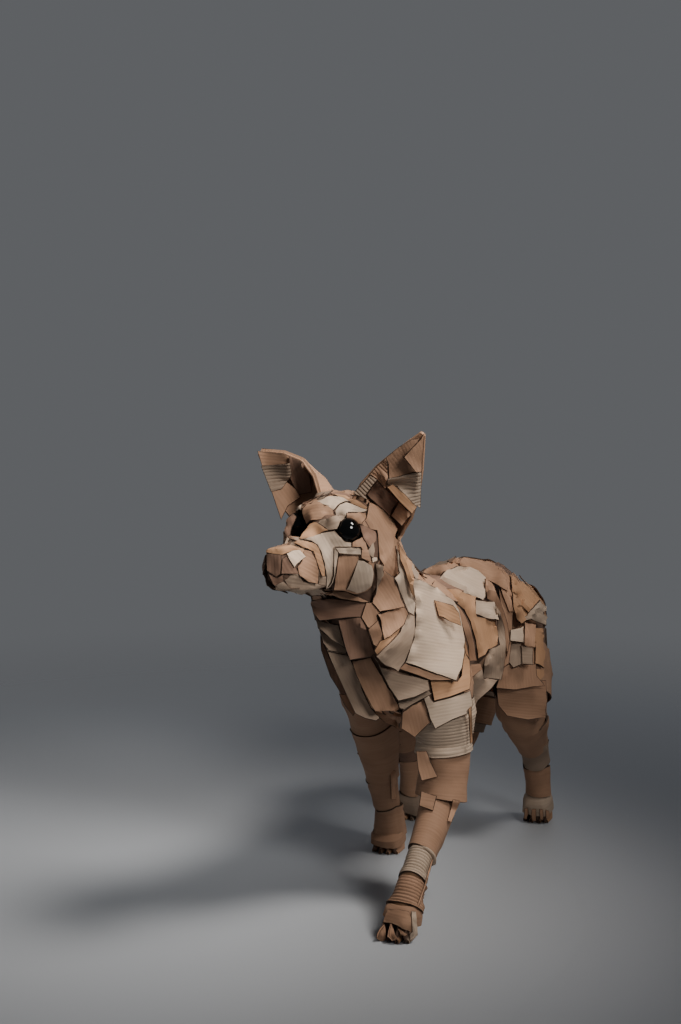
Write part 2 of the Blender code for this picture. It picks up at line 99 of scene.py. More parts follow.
def boardMaterial(name, light, dark):
    # Packing board: a matte paper liner, whose fibres run one way and whose flutes show through.
    material, tree, shader = newMaterial(name, light, 0.82)
    uv = addNode(tree, "ShaderNodeUVMap", {"uv_map": "board"}).outputs["UV"]
    tone = addNode(tree, "ShaderNodeAttribute", {"attribute_name": "tone"}).outputs["Fac"]
    streakPlace = addNode(tree, "ShaderNodeMapping", {"Scale": (25, 420, 1)}, {"Vector": uv})
    streaks = addNode(tree, "ShaderNodeTexNoise", {"Scale": 1, "Detail": 3, "Roughness": 0.6},
                      {"Vector": streakPlace.outputs["Vector"]})
    cloudPlace = addNode(tree, "ShaderNodeMapping", {"Scale": (35, 60, 1)}, {"Vector": uv})
    clouds = addNode(tree, "ShaderNodeTexNoise", {"Scale": 1, "Detail": 2},
                     {"Vector": cloudPlace.outputs["Vector"]})
    fibrePlace = addNode(tree, "ShaderNodeMapping", {"Scale": (900, 1600, 1)}, {"Vector": uv})
    fibres = addNode(tree, "ShaderNodeTexNoise", {"Scale": 1, "Detail": 2},
                     {"Vector": fibrePlace.outputs["Vector"]})
    flutes = addNode(tree, "ShaderNodeTexWave",
                     {"bands_direction": "Y", "Scale": 99, "Distortion": 0.6, "Detail": 1},
                     {"Vector": uv})
    mixed = addNode(tree, "ShaderNodeMath", {"operation": "ADD"},
                    {0: streaks.outputs["Fac"], 1: clouds.outputs["Fac"]})
    fine = addNode(tree, "ShaderNodeMath", {"operation": "MULTIPLY_ADD", 1: 0.35},
                   {0: fibres.outputs["Fac"], 2: mixed.outputs[0]})
    ramp = addNode(tree, "ShaderNodeMapRange",
                   {"From Min": 0.75, "From Max": 1.6, "To Min": 0, "To Max": 1}, {"Value": fine.outputs[0]})
    tint = addNode(tree, "ShaderNodeMix", {"data_type": "RGBA", 6: hexColour(dark), 7: hexColour(light)},
                   {"Factor": ramp.outputs["Result"]})
    shade = addNode(tree, "ShaderNodeVectorMath", {"operation": "SCALE"},
                    {0: tint.outputs[2], "Scale": tone})
    tree.links.new(shade.outputs[0], shader.inputs["Base Color"])
    height = addNode(tree, "ShaderNodeMath", {"operation": "MULTIPLY_ADD", 1: 0.5},
                     {0: flutes.outputs["Fac"], 2: fine.outputs[0]})
    bump = addNode(tree, "ShaderNodeBump", {"Strength": 0.25, "Distance": 0.0006},
                   {"Height": height.outputs[0]})
    tree.links.new(bump.outputs["Normal"], shader.inputs["Normal"])
    return material


kinds = list(boardLook)
boardMaterials = [boardMaterial(kind + "Board", *boardLook[kind]) for kind in kinds]
print("materials made")


# The camera, fitted to the four paws in the photograph: its lens and middle are in pixels

view = {
    "from": Vector((497.3, -1497.8, 500)),
    "turn": math.radians(22),
    "fall": math.atan(123 / 1500),
    "lens": 1500,
    "middle": (340.5, 512),
}
# In the head's own frame: ahead of its centre, to its left and up
eyeSpots = {"eyeLeft": (29, 30.5, 3.5), "eyeRight": (27, -29, 5.5)}
headValues = {"centre": Vector((-11, -235, 372)), "yaw": math.radians(18), "eye": 11.5}
socketValues = {"ring": 2, "before": 60, "behind": 5, "around": 16, "cell": 2.5, "rim": 1, "sunk": 1.5}


def mirrored(spot, flip, isWay=False):
    # Flip 1 mirrors in the trunk's middle plane, and flip 2 in the head's.
    if flip == 1:
        return Vector((-spot.x, spot.y, spot.z))
    if flip == 2:
        across = Vector((math.cos(headValues["yaw"]), -math.sin(headValues["yaw"]), 0))
        away = spot if isWay else spot - headValues["centre"]
        return spot - across * 2 * away.dot(across)
    return spot.copy()


def axesOfView():
    right = Vector((math.cos(view["turn"]), math.sin(view["turn"]), 0))
    level = Vector((-math.sin(view["turn"]), math.cos(view["turn"]), 0))
    ahead = level * math.cos(view["fall"]) - Vector((0, 0, math.sin(view["fall"])))
    return right, ahead, right.cross(ahead)


def sight(x, y, flip=0):
    # The line of sight through a pixel
    right, ahead, above = axesOfView()
    way = ahead * view["lens"] + right * (x - view["middle"][0]) - above * (y - view["middle"][1])
    return mirrored(view["from"], flip), mirrored(way.normalized(), flip, True)


def pixelOf(spot, flip=0):
    right, ahead, above = axesOfView()
    away = mirrored(spot, flip) - view["from"]
    share = view["lens"] / away.dot(ahead)
    return (view["middle"][0] + share * away.dot(right), view["middle"][1] - share * away.dot(above))


# What has been laid so far, for the next board to rest on

class Pile:
    def __init__(self):
        self.layers = []

    def add(self, mesh):
        copy = mesh.copy()
        bmesh.ops.triangulate(copy, faces=copy.faces)
        low = Vector([min(v.co[i] for v in copy.verts) for i in range(3)])
        high = Vector([max(v.co[i] for v in copy.verts) for i in range(3)])
        corners = [Vector(corner) for corner in itertools.product(*zip(low, high))]
        frames = []
        for flip in (0, 1, 2):
            xs, ys = zip(*[pixelOf(corner, flip) for corner in corners])
            frames.append((min(xs), min(ys), max(xs), max(ys)))
        self.layers.append((BVHTree.FromBMesh(copy), low, high, frames))
        copy.free()

    def near(self, low, high):
        found = []
        for tree, a, b, _ in self.layers:
            if all(a[i] <= high[i] and b[i] >= low[i] for i in range(3)):
                found.append(tree)
        return found

    def seen(self, outline, flip):
        xs, ys = zip(*outline)
        found = []
        for tree, _, _, frames in self.layers:
            x0, y0, x1, y1 = frames[flip]
            if x0 <= max(xs) and x1 >= min(xs) and y0 <= max(ys) and y1 >= min(ys):
                found.append(tree)
        return found


def firstHit(trees, start, way, reach=4000):
    best = None
    for tree in trees:
        spot, normal, _, distance = tree.ray_cast(start, way, reach)
        if spot and (best is None or distance < best[2]):
            best = (spot, normal, distance)
    return best


pile = Pile()
regions = {}


def keep(mesh, name):
    # Adds the mesh to the piece of that name.
    if name not in regions:
        regions[name] = bmesh.new()
    data = bpy.data.meshes.new("board")
    mesh.to_mesh(data)
    regions[name].from_mesh(data)
    bpy.data.meshes.remove(data)
    mesh.free()


# Every board: relaxed heights, a wall of its own thickness, a cut edge drawn dark (partly its own colour,
# partly painted shade in the seams) and its own grain

boardValues = {
    "gap": 0.25,
    "cell": 4.0,
    "ease": 10,
    "hover": 2.2,
    "bevel": 0.6,
    "sharp": 0.7,
    "hug": 0.3,
    "curlReach": 14.0,
    "around": 20,
    "drape": 3.5,
    "fluteStep": 3.2,
}
# How closely a board with bare flutes is divided across them
ribCell = boardValues["fluteStep"] / 6


def inside(x, y, outline):
    odd = False
    for (x0, y0), (x1, y1) in zip(outline, outline[1:] + outline[:1]):
        if (y0 > y) != (y1 > y) and x < x0 + (y - y0) / (y1 - y0) * (x1 - x0):
            odd = not odd
    return odd


def dropLoose(mesh):
    bmesh.ops.delete(mesh, geom=[v for v in mesh.verts if not v.link_faces], context="VERTS")


def cutAway(mesh, gone, fewest):
    # Says whether enough faces are left for a board.
    bmesh.ops.delete(mesh, geom=gone, context="VERTS")
    dropLoose(mesh)
    if len(mesh.faces) >= fewest:
        return True
    mesh.free()
    return False


def newSheet():
    # u and v hold where each point lies on the flat sheet
    mesh = bmesh.new()
    for name in ("u", "v"):
        mesh.verts.layers.float.new(name)
    return mesh


def relax(mesh, floors, rounds, hover):
    # Smooths the sheet's heights, never below the floor under each point nor far above it. Where
    # nothing lies under a point, its height follows its neighbours'.
    heights = {vertex: floor for vertex, floor in floors.items() if floor is not None}
    waiting = [vertex for vertex in mesh.verts if vertex not in heights]
    while waiting:
        found = {}
        for vertex in waiting:
            near = [edge.other_vert(vertex) for edge in vertex.link_edges]
            known = [heights[other] for other in near if other in heights]
            if known:
                found[vertex] = sum(known) / len(known)
        if not found:
            break
        heights.update(found)
        waiting = [vertex for vertex in waiting if vertex not in heights]
    lowest = min(heights.values(), default=0)
    heights.update({vertex: lowest for vertex in waiting})
    for _ in range(rounds):
        for vertex in mesh.verts:
            near = [heights[edge.other_vert(vertex)] for edge in vertex.link_edges]
            floor = floors[vertex]
            level = sum(near) / len(near)
            heights[vertex] = level if floor is None else max(floor, min(level, floor + hover))
    return heights


def nearEye(spot):
    clear = headValues["eye"] + socketValues["ring"]
    return any((spot - headPoint(*eye)).length < clear for eye in eyeSpots.values())


def beforeFarEye(spot):
    # How far the spot stands before the right eye, and how far aside, as the photograph shows them
    eye = headPoint(*eyeSpots["eyeRight"])
    way = (view["from"] - eye).normalized()
    before = (spot - eye).dot(way)
    return before, (spot - eye - way * before).length, way


def hidesEye(spot):
    before, aside, _ = beforeFarEye(spot)
    return nearEye(spot) or (0 < before < socketValues["before"] and aside < headValues["eye"])


def spreadUp(mesh, floors):
    # Each point takes the highest floor next to it, so that no corner below comes through.
    higher = {}
    for vertex in mesh.verts:
        near = [floors.get(edge.other_vert(vertex)) for edge in vertex.link_edges] + [floors.get(vertex)]
        known = [floor for floor in near if floor is not None]
        higher[vertex] = None if floors.get(vertex) is None else max(known)
    return higher


def finishBoard(mesh, kind, tone, thick, piece, ribs=0, floor=None, rim="edge"):
    uvLayer = mesh.loops.layers.uv.new("board")
    toneLayer = mesh.verts.layers.float.new("tone")
    uLayer, vLayer = mesh.verts.layers.float["u"], mesh.verts.layers.float["v"]
    mesh.normal_update()
    outer = bmesh.ops.extrude_face_region(mesh, geom=mesh.faces[:])["geom"]
    raised = [item for item in outer if isinstance(item, bmesh.types.BMVert)]
    tops = set(item for item in outer if isinstance(item, bmesh.types.BMFace))
    mesh.normal_update()
    moves = {vertex: vertex.normal * thick for vertex in raised}
    if ribs:
        for vertex in raised:
            share = vertex[vLayer] / boardValues["fluteStep"]
            moves[vertex] += vertex.normal * ribs * (abs(math.sin(math.pi * share)) - 1)
    for vertex, move in moves.items():
        vertex.co += move
        if floor is not None:
            vertex.co.z = max(floor, vertex.co.z)
    bmesh.ops.recalc_face_normals(mesh, faces=mesh.faces)
    mesh.normal_update()
    drawn = {}
    for vertex in raised:
        walls = [face for face in vertex.link_faces if face not in tops]
        if walls:
            outward = sum((face.normal for face in walls), Vector())
            level = sum((face.normal for face in vertex.link_faces if face in tops), Vector()).normalized()
            outward -= level * outward.dot(level)
            if outward.length > 0.2:
                drawn[vertex] = outward.normalized() * min(boardValues["bevel"], thick * 0.5)
    for vertex, move in drawn.items():
        vertex.co -= move
    slide = Vector((chance.uniform(-1, 1), chance.uniform(-1, 1)))
    # Walls take the rim kind; the dark edge kind there is partly the cut edge's own colour and partly
    # painted shade in the seams.
    for face in mesh.faces:
        flat = face in tops or all(vertex not in moves for vertex in face.verts)
        face.material_index = kinds.index(kind if flat else rim)
        face.smooth = True
        for loop in face.loops:
            loop[uvLayer].uv = Vector((loop.vert[uLayer], loop.vert[vLayer])) / perMetre + slide
    for vertex in mesh.verts:
        vertex[toneLayer] = tone
    for name in ("u", "v"):
        mesh.verts.layers.float.remove(mesh.verts.layers.float[name])
    for edge in mesh.edges:
        if len(edge.link_faces) == 2 and edge.calc_face_angle(0) > boardValues["sharp"]:
            edge.smooth = False
    pile.add(mesh)
    keep(mesh, piece)


def curlAt(spot, corners, lifts):
    extra = 0
    for corner, lift in zip(corners, lifts):
        share = 1 - (spot - corner).length / boardValues["curlReach"]
        if share > 0:
            extra += lift * share * share
    return extra


def flatSheet(outline, cell, fine=0):
    # A net of triangles over the outline, closer across the flutes where they show
    squeeze = fine / cell if fine else 1
    loop = []
    for (x0, y0), (x1, y1) in zip(outline, outline[1:] + outline[:1]):
        steps = max(1, round(math.hypot(x1 - x0, (y1 - y0) / squeeze) / cell))
        for i in range(steps):
            loop.append(Vector((x0 + (x1 - x0) * i / steps, (y0 + (y1 - y0) * i / steps) / squeeze)))
    flat = [tuple(point) for point in loop]
    xs, ys = zip(*flat)
    points = list(loop)
    rows = math.ceil((max(ys) - min(ys)) / (cell * 0.87))
    columns = math.ceil((max(xs) - min(xs)) / cell)
    for row in range(rows + 1):
        for column in range(columns + 1):
            x = min(xs) + cell * (column + row % 2 / 2)
            y = min(ys) + cell * 0.87 * row
            spot = Vector((x, y))
            if inside(x, y, flat) and all((spot - point).length > cell * 0.6 for point in loop):
                points.append(spot)
    ends = [(i, (i + 1) % len(loop)) for i in range(len(loop))]
    spots, _, faces, *_ = geometry.delaunay_2d_cdt(points, ends, [list(range(len(loop)))], 1, 1e-4)
    mesh = newSheet()
    made = [mesh.verts.new((spot.x, spot.y * squeeze, 0)) for spot in spots]
    for face in faces:
        mesh.faces.new([made[i] for i in face])
    dropLoose(mesh)
    return mesh


def drawIn(vertex, limit):
    # Holds a point of a board to within the limit of the form under it.
    near = pile.layers[0][0].find_nearest(vertex.co)[0]
    away = vertex.co - near
    if away.length > limit:
        vertex.co = near + away * (limit / away.length)


def layBoard(piece, corners, centre, normal, kind, tone, grain, thick, lifts, rise, drop):
    # A flat board laid along its normal onto the pile
    run = (grain - normal * grain.dot(normal)).normalized()
    across = normal.cross(run)
    flat = [((corner - centre).dot(run), (corner - centre).dot(across)) for corner in corners]
    mesh = flatSheet(flat, boardValues["cell"])
    if len(mesh.faces) < 2:
        mesh.free()
        return
    uLayer, vLayer = mesh.verts.layers.float["u"], mesh.verts.layers.float["v"]
    for vertex in mesh.verts:
        vertex[uLayer], vertex[vLayer] = vertex.co.x, vertex.co.y
        vertex.co = centre + run * vertex.co.x + across * vertex.co.y
    size = max((corner - centre).length for corner in corners)
    reach = Vector((size, size, size)) + Vector((1, 1, 1)) * boardValues["around"]
    trees = pile.near(centre - reach, centre + reach)
    floors = {}
    for vertex in mesh.verts:
        hit = firstHit(trees, vertex.co + normal * rise, -normal, rise + drop)
        floors[vertex] = (hit[0] - vertex.co).dot(normal) if hit and not nearEye(hit[0]) else None
    heights = relax(mesh, floors, boardValues["ease"], boardValues["hover"])
    covering = [vertex for vertex in mesh.verts if hidesEye(vertex.co + normal * (heights[vertex] + 1))]
    if covering:
        heights = {vertex: height for vertex, height in heights.items() if vertex not in covering}
        if not cutAway(mesh, covering, 2):
            return
    for vertex in mesh.verts:
        curl = curlAt(vertex.co, corners, lifts)
        vertex.co += normal * (heights[vertex] + boardValues["gap"] + curl)
        if floors[vertex] is None:
            drawIn(vertex, boardValues["drape"])
    finishBoard(mesh, kind, tone, thick, piece)


sheetValues = {"thick": 1.6, "cell": 3.2, "curl": 1.0, "depth": 45, "ease": 24, "hover": 22}
headSheets = {"thick": 1.0, "cell": 2.2, "curl": 0.5, "depth": 14, "ease": 8}
pawSheets = {"thick": 0.8, "cell": 1.5, "curl": 0.2, "depth": 14, "ease": 4}
earSheets = {"thick": 0.9, "cell": 2.5, "curl": 0.4, "depth": 25}


def sightBoard(piece, outline, kind, tone, grain, flip=0, ribs=0, drape=0, close=False, **own):
    # The outline is in pixels; each point goes to the depth where its line of sight meets the pile.
    values = sheetValues | own
    turn = math.radians(grain)
    along, over = (math.cos(turn), math.sin(turn)), (-math.sin(turn), math.cos(turn))
    turned = [(x * along[0] + y * along[1], x * over[0] + y * over[1]) for x, y in outline]
    mesh = flatSheet(turned, values["cell"], ribCell if ribs else 0)
    trees = pile.seen(outline, flip)
    rays, floors = {}, {}
    for vertex in mesh.verts:
        x = vertex.co.x * along[0] + vertex.co.y * over[0]
        y = vertex.co.x * along[1] + vertex.co.y * over[1]
        rays[vertex] = sight(x, y, flip)
        hit = firstHit(trees, *rays[vertex])
        crosses = hit and flip == 1 and hit[0].x > -sideValues[1]
        floors[vertex] = -hit[2] if hit and not crosses else None
    known = sorted(value for value in floors.values() if value is not None)
    if not known:
        mesh.free()
        return
    middle = known[len(known) // 2]
    depth = values["depth"]
    floors = {v: (None if f is None or abs(f - middle) > depth else f) for v, f in floors.items()}
    if flip:
        loose = [vertex for vertex, floor in floors.items() if floor is None]
        floors = {vertex: floor for vertex, floor in floors.items() if floor is not None}
        if not cutAway(mesh, loose, 3):
            return
    floors = spreadUp(mesh, floors)
    heights = relax(mesh, floors, values["ease"], values["hover"])
    if flip == 2:
        spots = {v: start - way * heights[v] for v, (start, way) in rays.items() if v in heights}
        covering = [vertex for vertex, spot in spots.items() if hidesEye(spot)]
        heights = {vertex: height for vertex, height in heights.items() if vertex not in covering}
        if not cutAway(mesh, covering, 3):
            return
    for vertex in mesh.verts:
        start, way = rays[vertex]
        vertex.co = start - way * heights[vertex]
        if drape and (close or floors[vertex] is None):
            drawIn(vertex, drape)
    mesh.normal_update()
    toEye = -sight(*outline[0], flip)[1]
    facing = sum((face.normal * face.calc_area() for face in mesh.faces), Vector())
    if facing.dot(toEye) < 0:
        bmesh.ops.reverse_faces(mesh, faces=mesh.faces)
        mesh.normal_update()
        facing = -facing
    normal = facing.normalized()
    centre = sum((vertex.co for vertex in mesh.verts), Vector()) / len(mesh.verts)
    middle = pixelOf(centre, flip)
    ends = []
    for x, y in [*outline, middle, (middle[0] + along[0], middle[1] + along[1])]:
        start, way = sight(x, y, flip)
        ends.append(start + way * ((centre - start).dot(normal) / way.dot(normal)))
    *ends, near, far = ends
    run = (far - near).normalized()
    across = normal.cross(run)
    uLayer, vLayer = mesh.verts.layers.float["u"], mesh.verts.layers.float["v"]
    lifts = [chance.uniform(0, values["curl"]) for _ in ends]
    moves = {}
    for vertex in mesh.verts:
        vertex[uLayer], vertex[vLayer] = (vertex.co - centre).dot(run), (vertex.co - centre).dot(across)
        moves[vertex] = vertex.normal * (boardValues["gap"] + curlAt(vertex.co, ends, lifts))
    for vertex, move in moves.items():
        vertex.co += move
    finishBoard(mesh, kind, tone, values["thick"], piece, ribs)


# The form that carries the boards: the imported body, drawn in by the depth of the boards on it

# tone: how dim the form's dark kraft is, as painted shade where it shows in the gaps between boards
baseValues = {"inset": 3.0, "pawInset": 0.7, "pawTop": 30, "tone": 0.55}


def paint(mesh, kind, tone, along, over):
    # For a mesh that is no board: its grain lies by its place.
    uvLayer = mesh.loops.layers.uv.new("board")
    toneLayer = mesh.verts.layers.float.new("tone")
    for face in mesh.faces:
        face.smooth = len(face.verts) <= 4
        face.material_index = kinds.index(kind)
        for loop in face.loops:
            spot = loop.vert.co
            loop[uvLayer].uv = (spot.dot(Vector(along)) / perMetre, spot.dot(Vector(over)) / perMetre)
    for vertex in mesh.verts:
        vertex[toneLayer] = tone


def openSocket(mesh):
    # Draws the root of the muzzle back where it would hide the right eye from the front
    radius, reach = headValues["eye"], socketValues["before"]
    for _ in range(3):
        mesh.verts.ensure_lookup_table()
        close = set()
        for vertex in mesh.verts:
            before, aside, _ = beforeFarEye(vertex.co)
            if -socketValues["behind"] < before < reach and aside < radius + socketValues["around"]:
                close.update(vertex.link_edges)
        long = [edge for edge in close if edge.calc_length() > socketValues["cell"]]
        bmesh.ops.subdivide_edges(mesh, edges=long, cuts=1, use_grid_fill=True)
        bmesh.ops.triangulate(mesh, faces=[face for face in mesh.faces if len(face.verts) > 3])
    for vertex in mesh.verts:
        before, aside, way = beforeFarEye(vertex.co)
        if 0 < before < reach and aside < radius + socketValues["rim"]:
            deep = math.sqrt(max(0, radius**2 - aside**2)) - socketValues["sunk"]
            vertex.co -= way * max(0, before - deep)


def bodyForm():
    mesh = bmesh.new()
    mesh.from_mesh(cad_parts["body"].data)
    toMillimetres(mesh)
    bmesh.ops.remove_doubles(mesh, verts=mesh.verts, dist=0.02)
    mesh.normal_update()
    shifts = {}
    for vertex in mesh.verts:
        share = min(1, max(0, vertex.co.z / baseValues["pawTop"]))
        inset = baseValues["pawInset"] + (baseValues["inset"] - baseValues["pawInset"]) * share
        shifts[vertex] = vertex.normal * inset
    for vertex, shift in shifts.items():
        vertex.co -= shift
    openSocket(mesh)
    pile.add(mesh)
    # Painted shade: the form is dark kraft at a low tone, so that the gaps between boards read as shadow.
    paint(mesh, "dark", baseValues["tone"], (0, 1, 0), (1, 0, 1))
    keep(mesh, "bodyForm")


# Paths that the boards follow: x, y, z, half size

def headPoint(ahead, left, up):
    turn = Matrix.Rotation(-headValues["yaw"], 3, "Z")
    return headValues["centre"] + turn @ Vector((left, -ahead, up))


paths = {
    "trunk": [(0, 196, 246, 45), (0, 170, 248, 58), (0, 125, 248, 66), (0, 70, 240, 67), (0, 10, 235, 65),
              (0, -45, 237, 64), (0, -95, 245, 65), (-1, -135, 258, 63)],
    "neck": [(-1, -128, 262, 62), (-3, -163, 280, 55), (-6, -186, 308, 50), (-9, -204, 336, 43),
             (-11, -218, 362, 37)],
    "frontLeft": [(40, -112, 235, 36), (46, -122, 215, 34), (50, -124, 180, 31), (51, -122, 150, 28),
                  (51, -124, 122, 23), (51, -134, 100, 18), (50, -166, 78, 14), (50, -204, 54, 12),
                  (49, -229, 32, 12), (47, -233, 14, 14)],
    "frontRight": [(-42, -96, 235, 34), (-46, -86, 215, 34), (-51, -64, 180, 28), (-52, -46, 150, 24),
                   (-52, -32, 120, 19), (-52, -20, 87, 14), (-52, -8, 58, 12), (-52, 1, 32, 11.5),
                   (-52, 6, 14, 14)],
    "hindLeft": [(44, 134, 255, 46), (50, 136, 234, 47), (62, 120, 200, 42), (68, 98, 170, 35),
                 (68, 102, 144, 28), (68, 126, 118, 20), (68, 156, 92, 14), (68, 169, 70, 11),
                 (68, 172, 45, 11), (69, 173, 26, 11), (69, 180, 11, 14)],
    "hindRight": [(-44, 128, 255, 46), (-50, 124, 234, 46), (-62, 100, 200, 40), (-68, 80, 168, 31),
                  (-68, 78, 142, 26), (-68, 90, 118, 20), (-68, 112, 92, 14), (-69, 121, 70, 11),
                  (-70, 124, 45, 11), (-70, 125, 26, 11), (-70, 134, 11, 14)],
    "tail": [(0, 196, 262, 18), (-1, 212, 250, 19), (-2, 220, 236, 20), (-8, 226, 196, 24),
             (-15, 224, 156, 25), (-20, 216, 118, 21), (-26, 207, 86, 14), (-33, 200, 58, 7)],
}
for key, rows in (("head", [(-44, 0, -10, 34), (-26, 0, -13, 45), (0, 0, -15, 48), (18, 0, -16, 46)]),
                  ("face", [(14, 0, -16, 46), (26, 0, -18, 42), (33, 0, -21, 35), (41, 0, -24, 29)]),
                  ("muzzle", [(38, 0, -24, 30), (54, 0, -27, 24), (70, 0, -28, 20), (84, 0, -28, 18),
                              (92, 0, -27, 15)])):
    paths[key] = [(*headPoint(*row[:3]), row[3]) for row in rows]


def pathAt(name, travelled):
    rows = paths[name]
    for near, far in zip(rows, rows[1:]):
        ahead = Vector(far[:3]) - Vector(near[:3])
        if travelled <= ahead.length or far is rows[-1]:
            share = travelled / ahead.length
            centre = Vector(near[:3]) + ahead * share
            return centre, ahead.normalized(), near[3] + (far[3] - near[3]) * min(share, 1)
        travelled -= ahead.length


def pathLength(name):
    rows = [Vector(row[:3]) for row in paths[name]]
    return sum((far - near).length for near, far in zip(rows, rows[1:]))


def axesOf(ahead):
    side = Vector((1, 0, 0))
    if abs(ahead.x) > 0.8:
        side = Vector((0, 1, 0))
    side = (side - ahead * side.dot(ahead)).normalized()
    return side, side.cross(ahead)


# Plain boards by chance, wherever no traced board will lie

patchKinds = ("kraft", "kraft", "kraft", "kraft", "dark", "orange", "grey", "pale")
patchValues = {"over": 1.5, "lean": 0.25, "slip": 0.2, "curl": 0.7, "reach": 1.6, "under": 14}


def underTraced(spot, normal):
    x, y = pixelOf(spot)
    if not any(inside(x, y, row[4]) for row in traced + traceHead):
        return False
    start, way = sight(x, y)
    hit = firstHit([pile.layers[0][0]], start, way)
    return normal.dot(way) < -0.05 and hit and (hit[0] - spot).length < patchValues["under"]


def patchwork(piece, name, long, wide, start=0.0, end=1.0, thick=1.2, rise=12, drop=16):
    length = pathLength(name)
    over, slip = patchValues["over"] / 2, patchValues["slip"]
    rings = max(1, round(length * (end - start) / long))
    for ring in range(rings + 1):
        centre, ahead, half = pathAt(name, length * (start + (end - start) * ring / rings))
        side, above = axesOf(ahead)
        count = max(4, round(math.tau * half / wide))
        order = list(range(count))
        chance.shuffle(order)
        for place in order:
            angle = math.tau * (place + (ring % 2) / 2 + chance.uniform(-slip, slip)) / count
            way = side * math.cos(angle) + above * math.sin(angle)
            hit = firstHit([pile.layers[0][0]], centre, way, half * patchValues["reach"])
            if not hit:
                continue
            found, normal, _ = hit
            if normal.dot(way) < 0.3:
                continue
            along = ahead - normal * ahead.dot(normal)
            if along.length < 0.3:
                continue
            turn = Matrix.Rotation(chance.gauss(0, patchValues["lean"]), 3, normal)
            along = turn @ along.normalized()
            across = normal.cross(along)
            spot = found + along * chance.uniform(-slip, slip) * long
            a = long * over * chance.uniform(0.8, 1.25)
            b = wide * over * chance.uniform(0.8, 1.2)
            corners = []
            for u, v in ((-1, -1), (1, -1), (1, 1), (-1, 1)):
                u, v = u * chance.uniform(0.75, 1.1), v * chance.uniform(0.75, 1.1)
                corners.append(spot + along * a * u + across * b * v)
            grain = along if chance.random() < 0.7 else across
            kind, tone = chance.choice(patchKinds), chance.uniform(0.88, 1.06)
            if underTraced(found, normal):
                continue
            lifts = [chance.uniform(0, patchValues["curl"]) for _ in corners]
            layBoard(piece, corners, spot, normal, kind, tone, grain, thick, lifts, rise, drop)


# Bands wrapped round a limb

wrapValues = {"sweep": 1.03, "out": 1.7, "cell": 4, "lap": 0.06, "lapRise": 60, "slack": 2}


def layWrap(piece, name, start, end, kind, tone, turn=0.0, flare=0.0, thick=1.5, tilts=(0.0, 0.0),
            phase=0.0, ribs=0, around=44, ease=10, hover=60, widest=1.25, gap=0.25):
    length = (end - start) * pathLength(name)
    first, _, half = pathAt(name, start * pathLength(name))
    last, _, lastHalf = pathAt(name, end * pathLength(name))
    ahead = (last - first).normalized()
    side, above = axesOf(ahead)
    span = (last - first).length
    rows = max(2, round(span / (ribCell if ribs else wrapValues["cell"])))
    mesh = newSheet()
    bmesh.ops.create_grid(mesh, x_segments=around, y_segments=rows, size=0.5)
    uLayer, vLayer = mesh.verts.layers.float["u"], mesh.verts.layers.float["v"]
    size = max(half, lastHalf) * wrapValues["out"]
    reach = Vector((size, size, size)) + Vector((length, length, length)) / 2
    trees = pile.near((first + last) / 2 - reach, (first + last) / 2 + reach)
    floors, spots = {}, {}
    for vertex in mesh.verts:
        share, along = vertex.co.x + 0.5, vertex.co.y + 0.5
        angle = turn + math.tau * wrapValues["sweep"] * share
        wave = math.cos(angle + phase)
        travel = -tilts[0] * wave * (1 - along) + tilts[1] * wave * along + span * along
        centre = first + ahead * travel
        way = side * math.cos(angle) + above * math.sin(angle)
        hit = firstHit(trees, centre + way * size, -way, size)
        floors[vertex] = size - hit[2] if hit else None
        spots[vertex] = (centre, way, angle, travel)
    guess = [value for value in floors.values() if value is not None]
    if not guess:
        mesh.free()
        return
    middle = sorted(guess)[len(guess) // 2]
    most = middle * widest + wrapValues["slack"]
    floors = {v: (f if f is None or f < most else None) for v, f in floors.items()}
    heights = relax(mesh, spreadUp(mesh, floors), ease, hover)
    top = min(heights.values())
    for vertex in mesh.verts:
        share = vertex.co.x + 0.5
        centre, way, angle, travel = spots[vertex]
        radius = heights[vertex]
        hug = (vertex.co.y + 0.5) / boardValues["hug"]
        if hug < 1 and floors[vertex] is not None:
            radius = floors[vertex] + (radius - floors[vertex]) * hug
        if flare:
            radius = max(radius, top + flare * travel / span)
        lapped = max(0, share - 1 / wrapValues["sweep"] + wrapValues["lap"])
        radius += gap + min(thick + 0.4, lapped * wrapValues["lapRise"])
        vertex[uLayer] = angle * middle
        vertex[vLayer] = travel
        vertex.co = centre + way * radius
    mesh.normal_update()
    facing = sum(face.normal.dot(face.calc_center_median() - first) for face in mesh.faces)
    if facing < 0:
        bmesh.ops.reverse_faces(mesh, faces=mesh.faces)
    finishBoard(mesh, kind, tone, thick, piece, ribs)


# Folded toes: a strip of board bent over a ridge, narrower and lower to the tip

toeValues = {"across": (-11.2, -3.7, 3.9, 11.4), "width": 6.6, "height": 13.5, "length": 23, "thick": 1.1,
             "splay": 0.12, "narrows": (0.55, 1.6), "falls": (0.72, 1.9), "fold": (0.86, 0.72), "foot": 0.3}
paws = {"frontLeft": (46, -233), "frontRight": (-52, 8), "hindLeft": (69, 182), "hindRight": (-70, 137)}


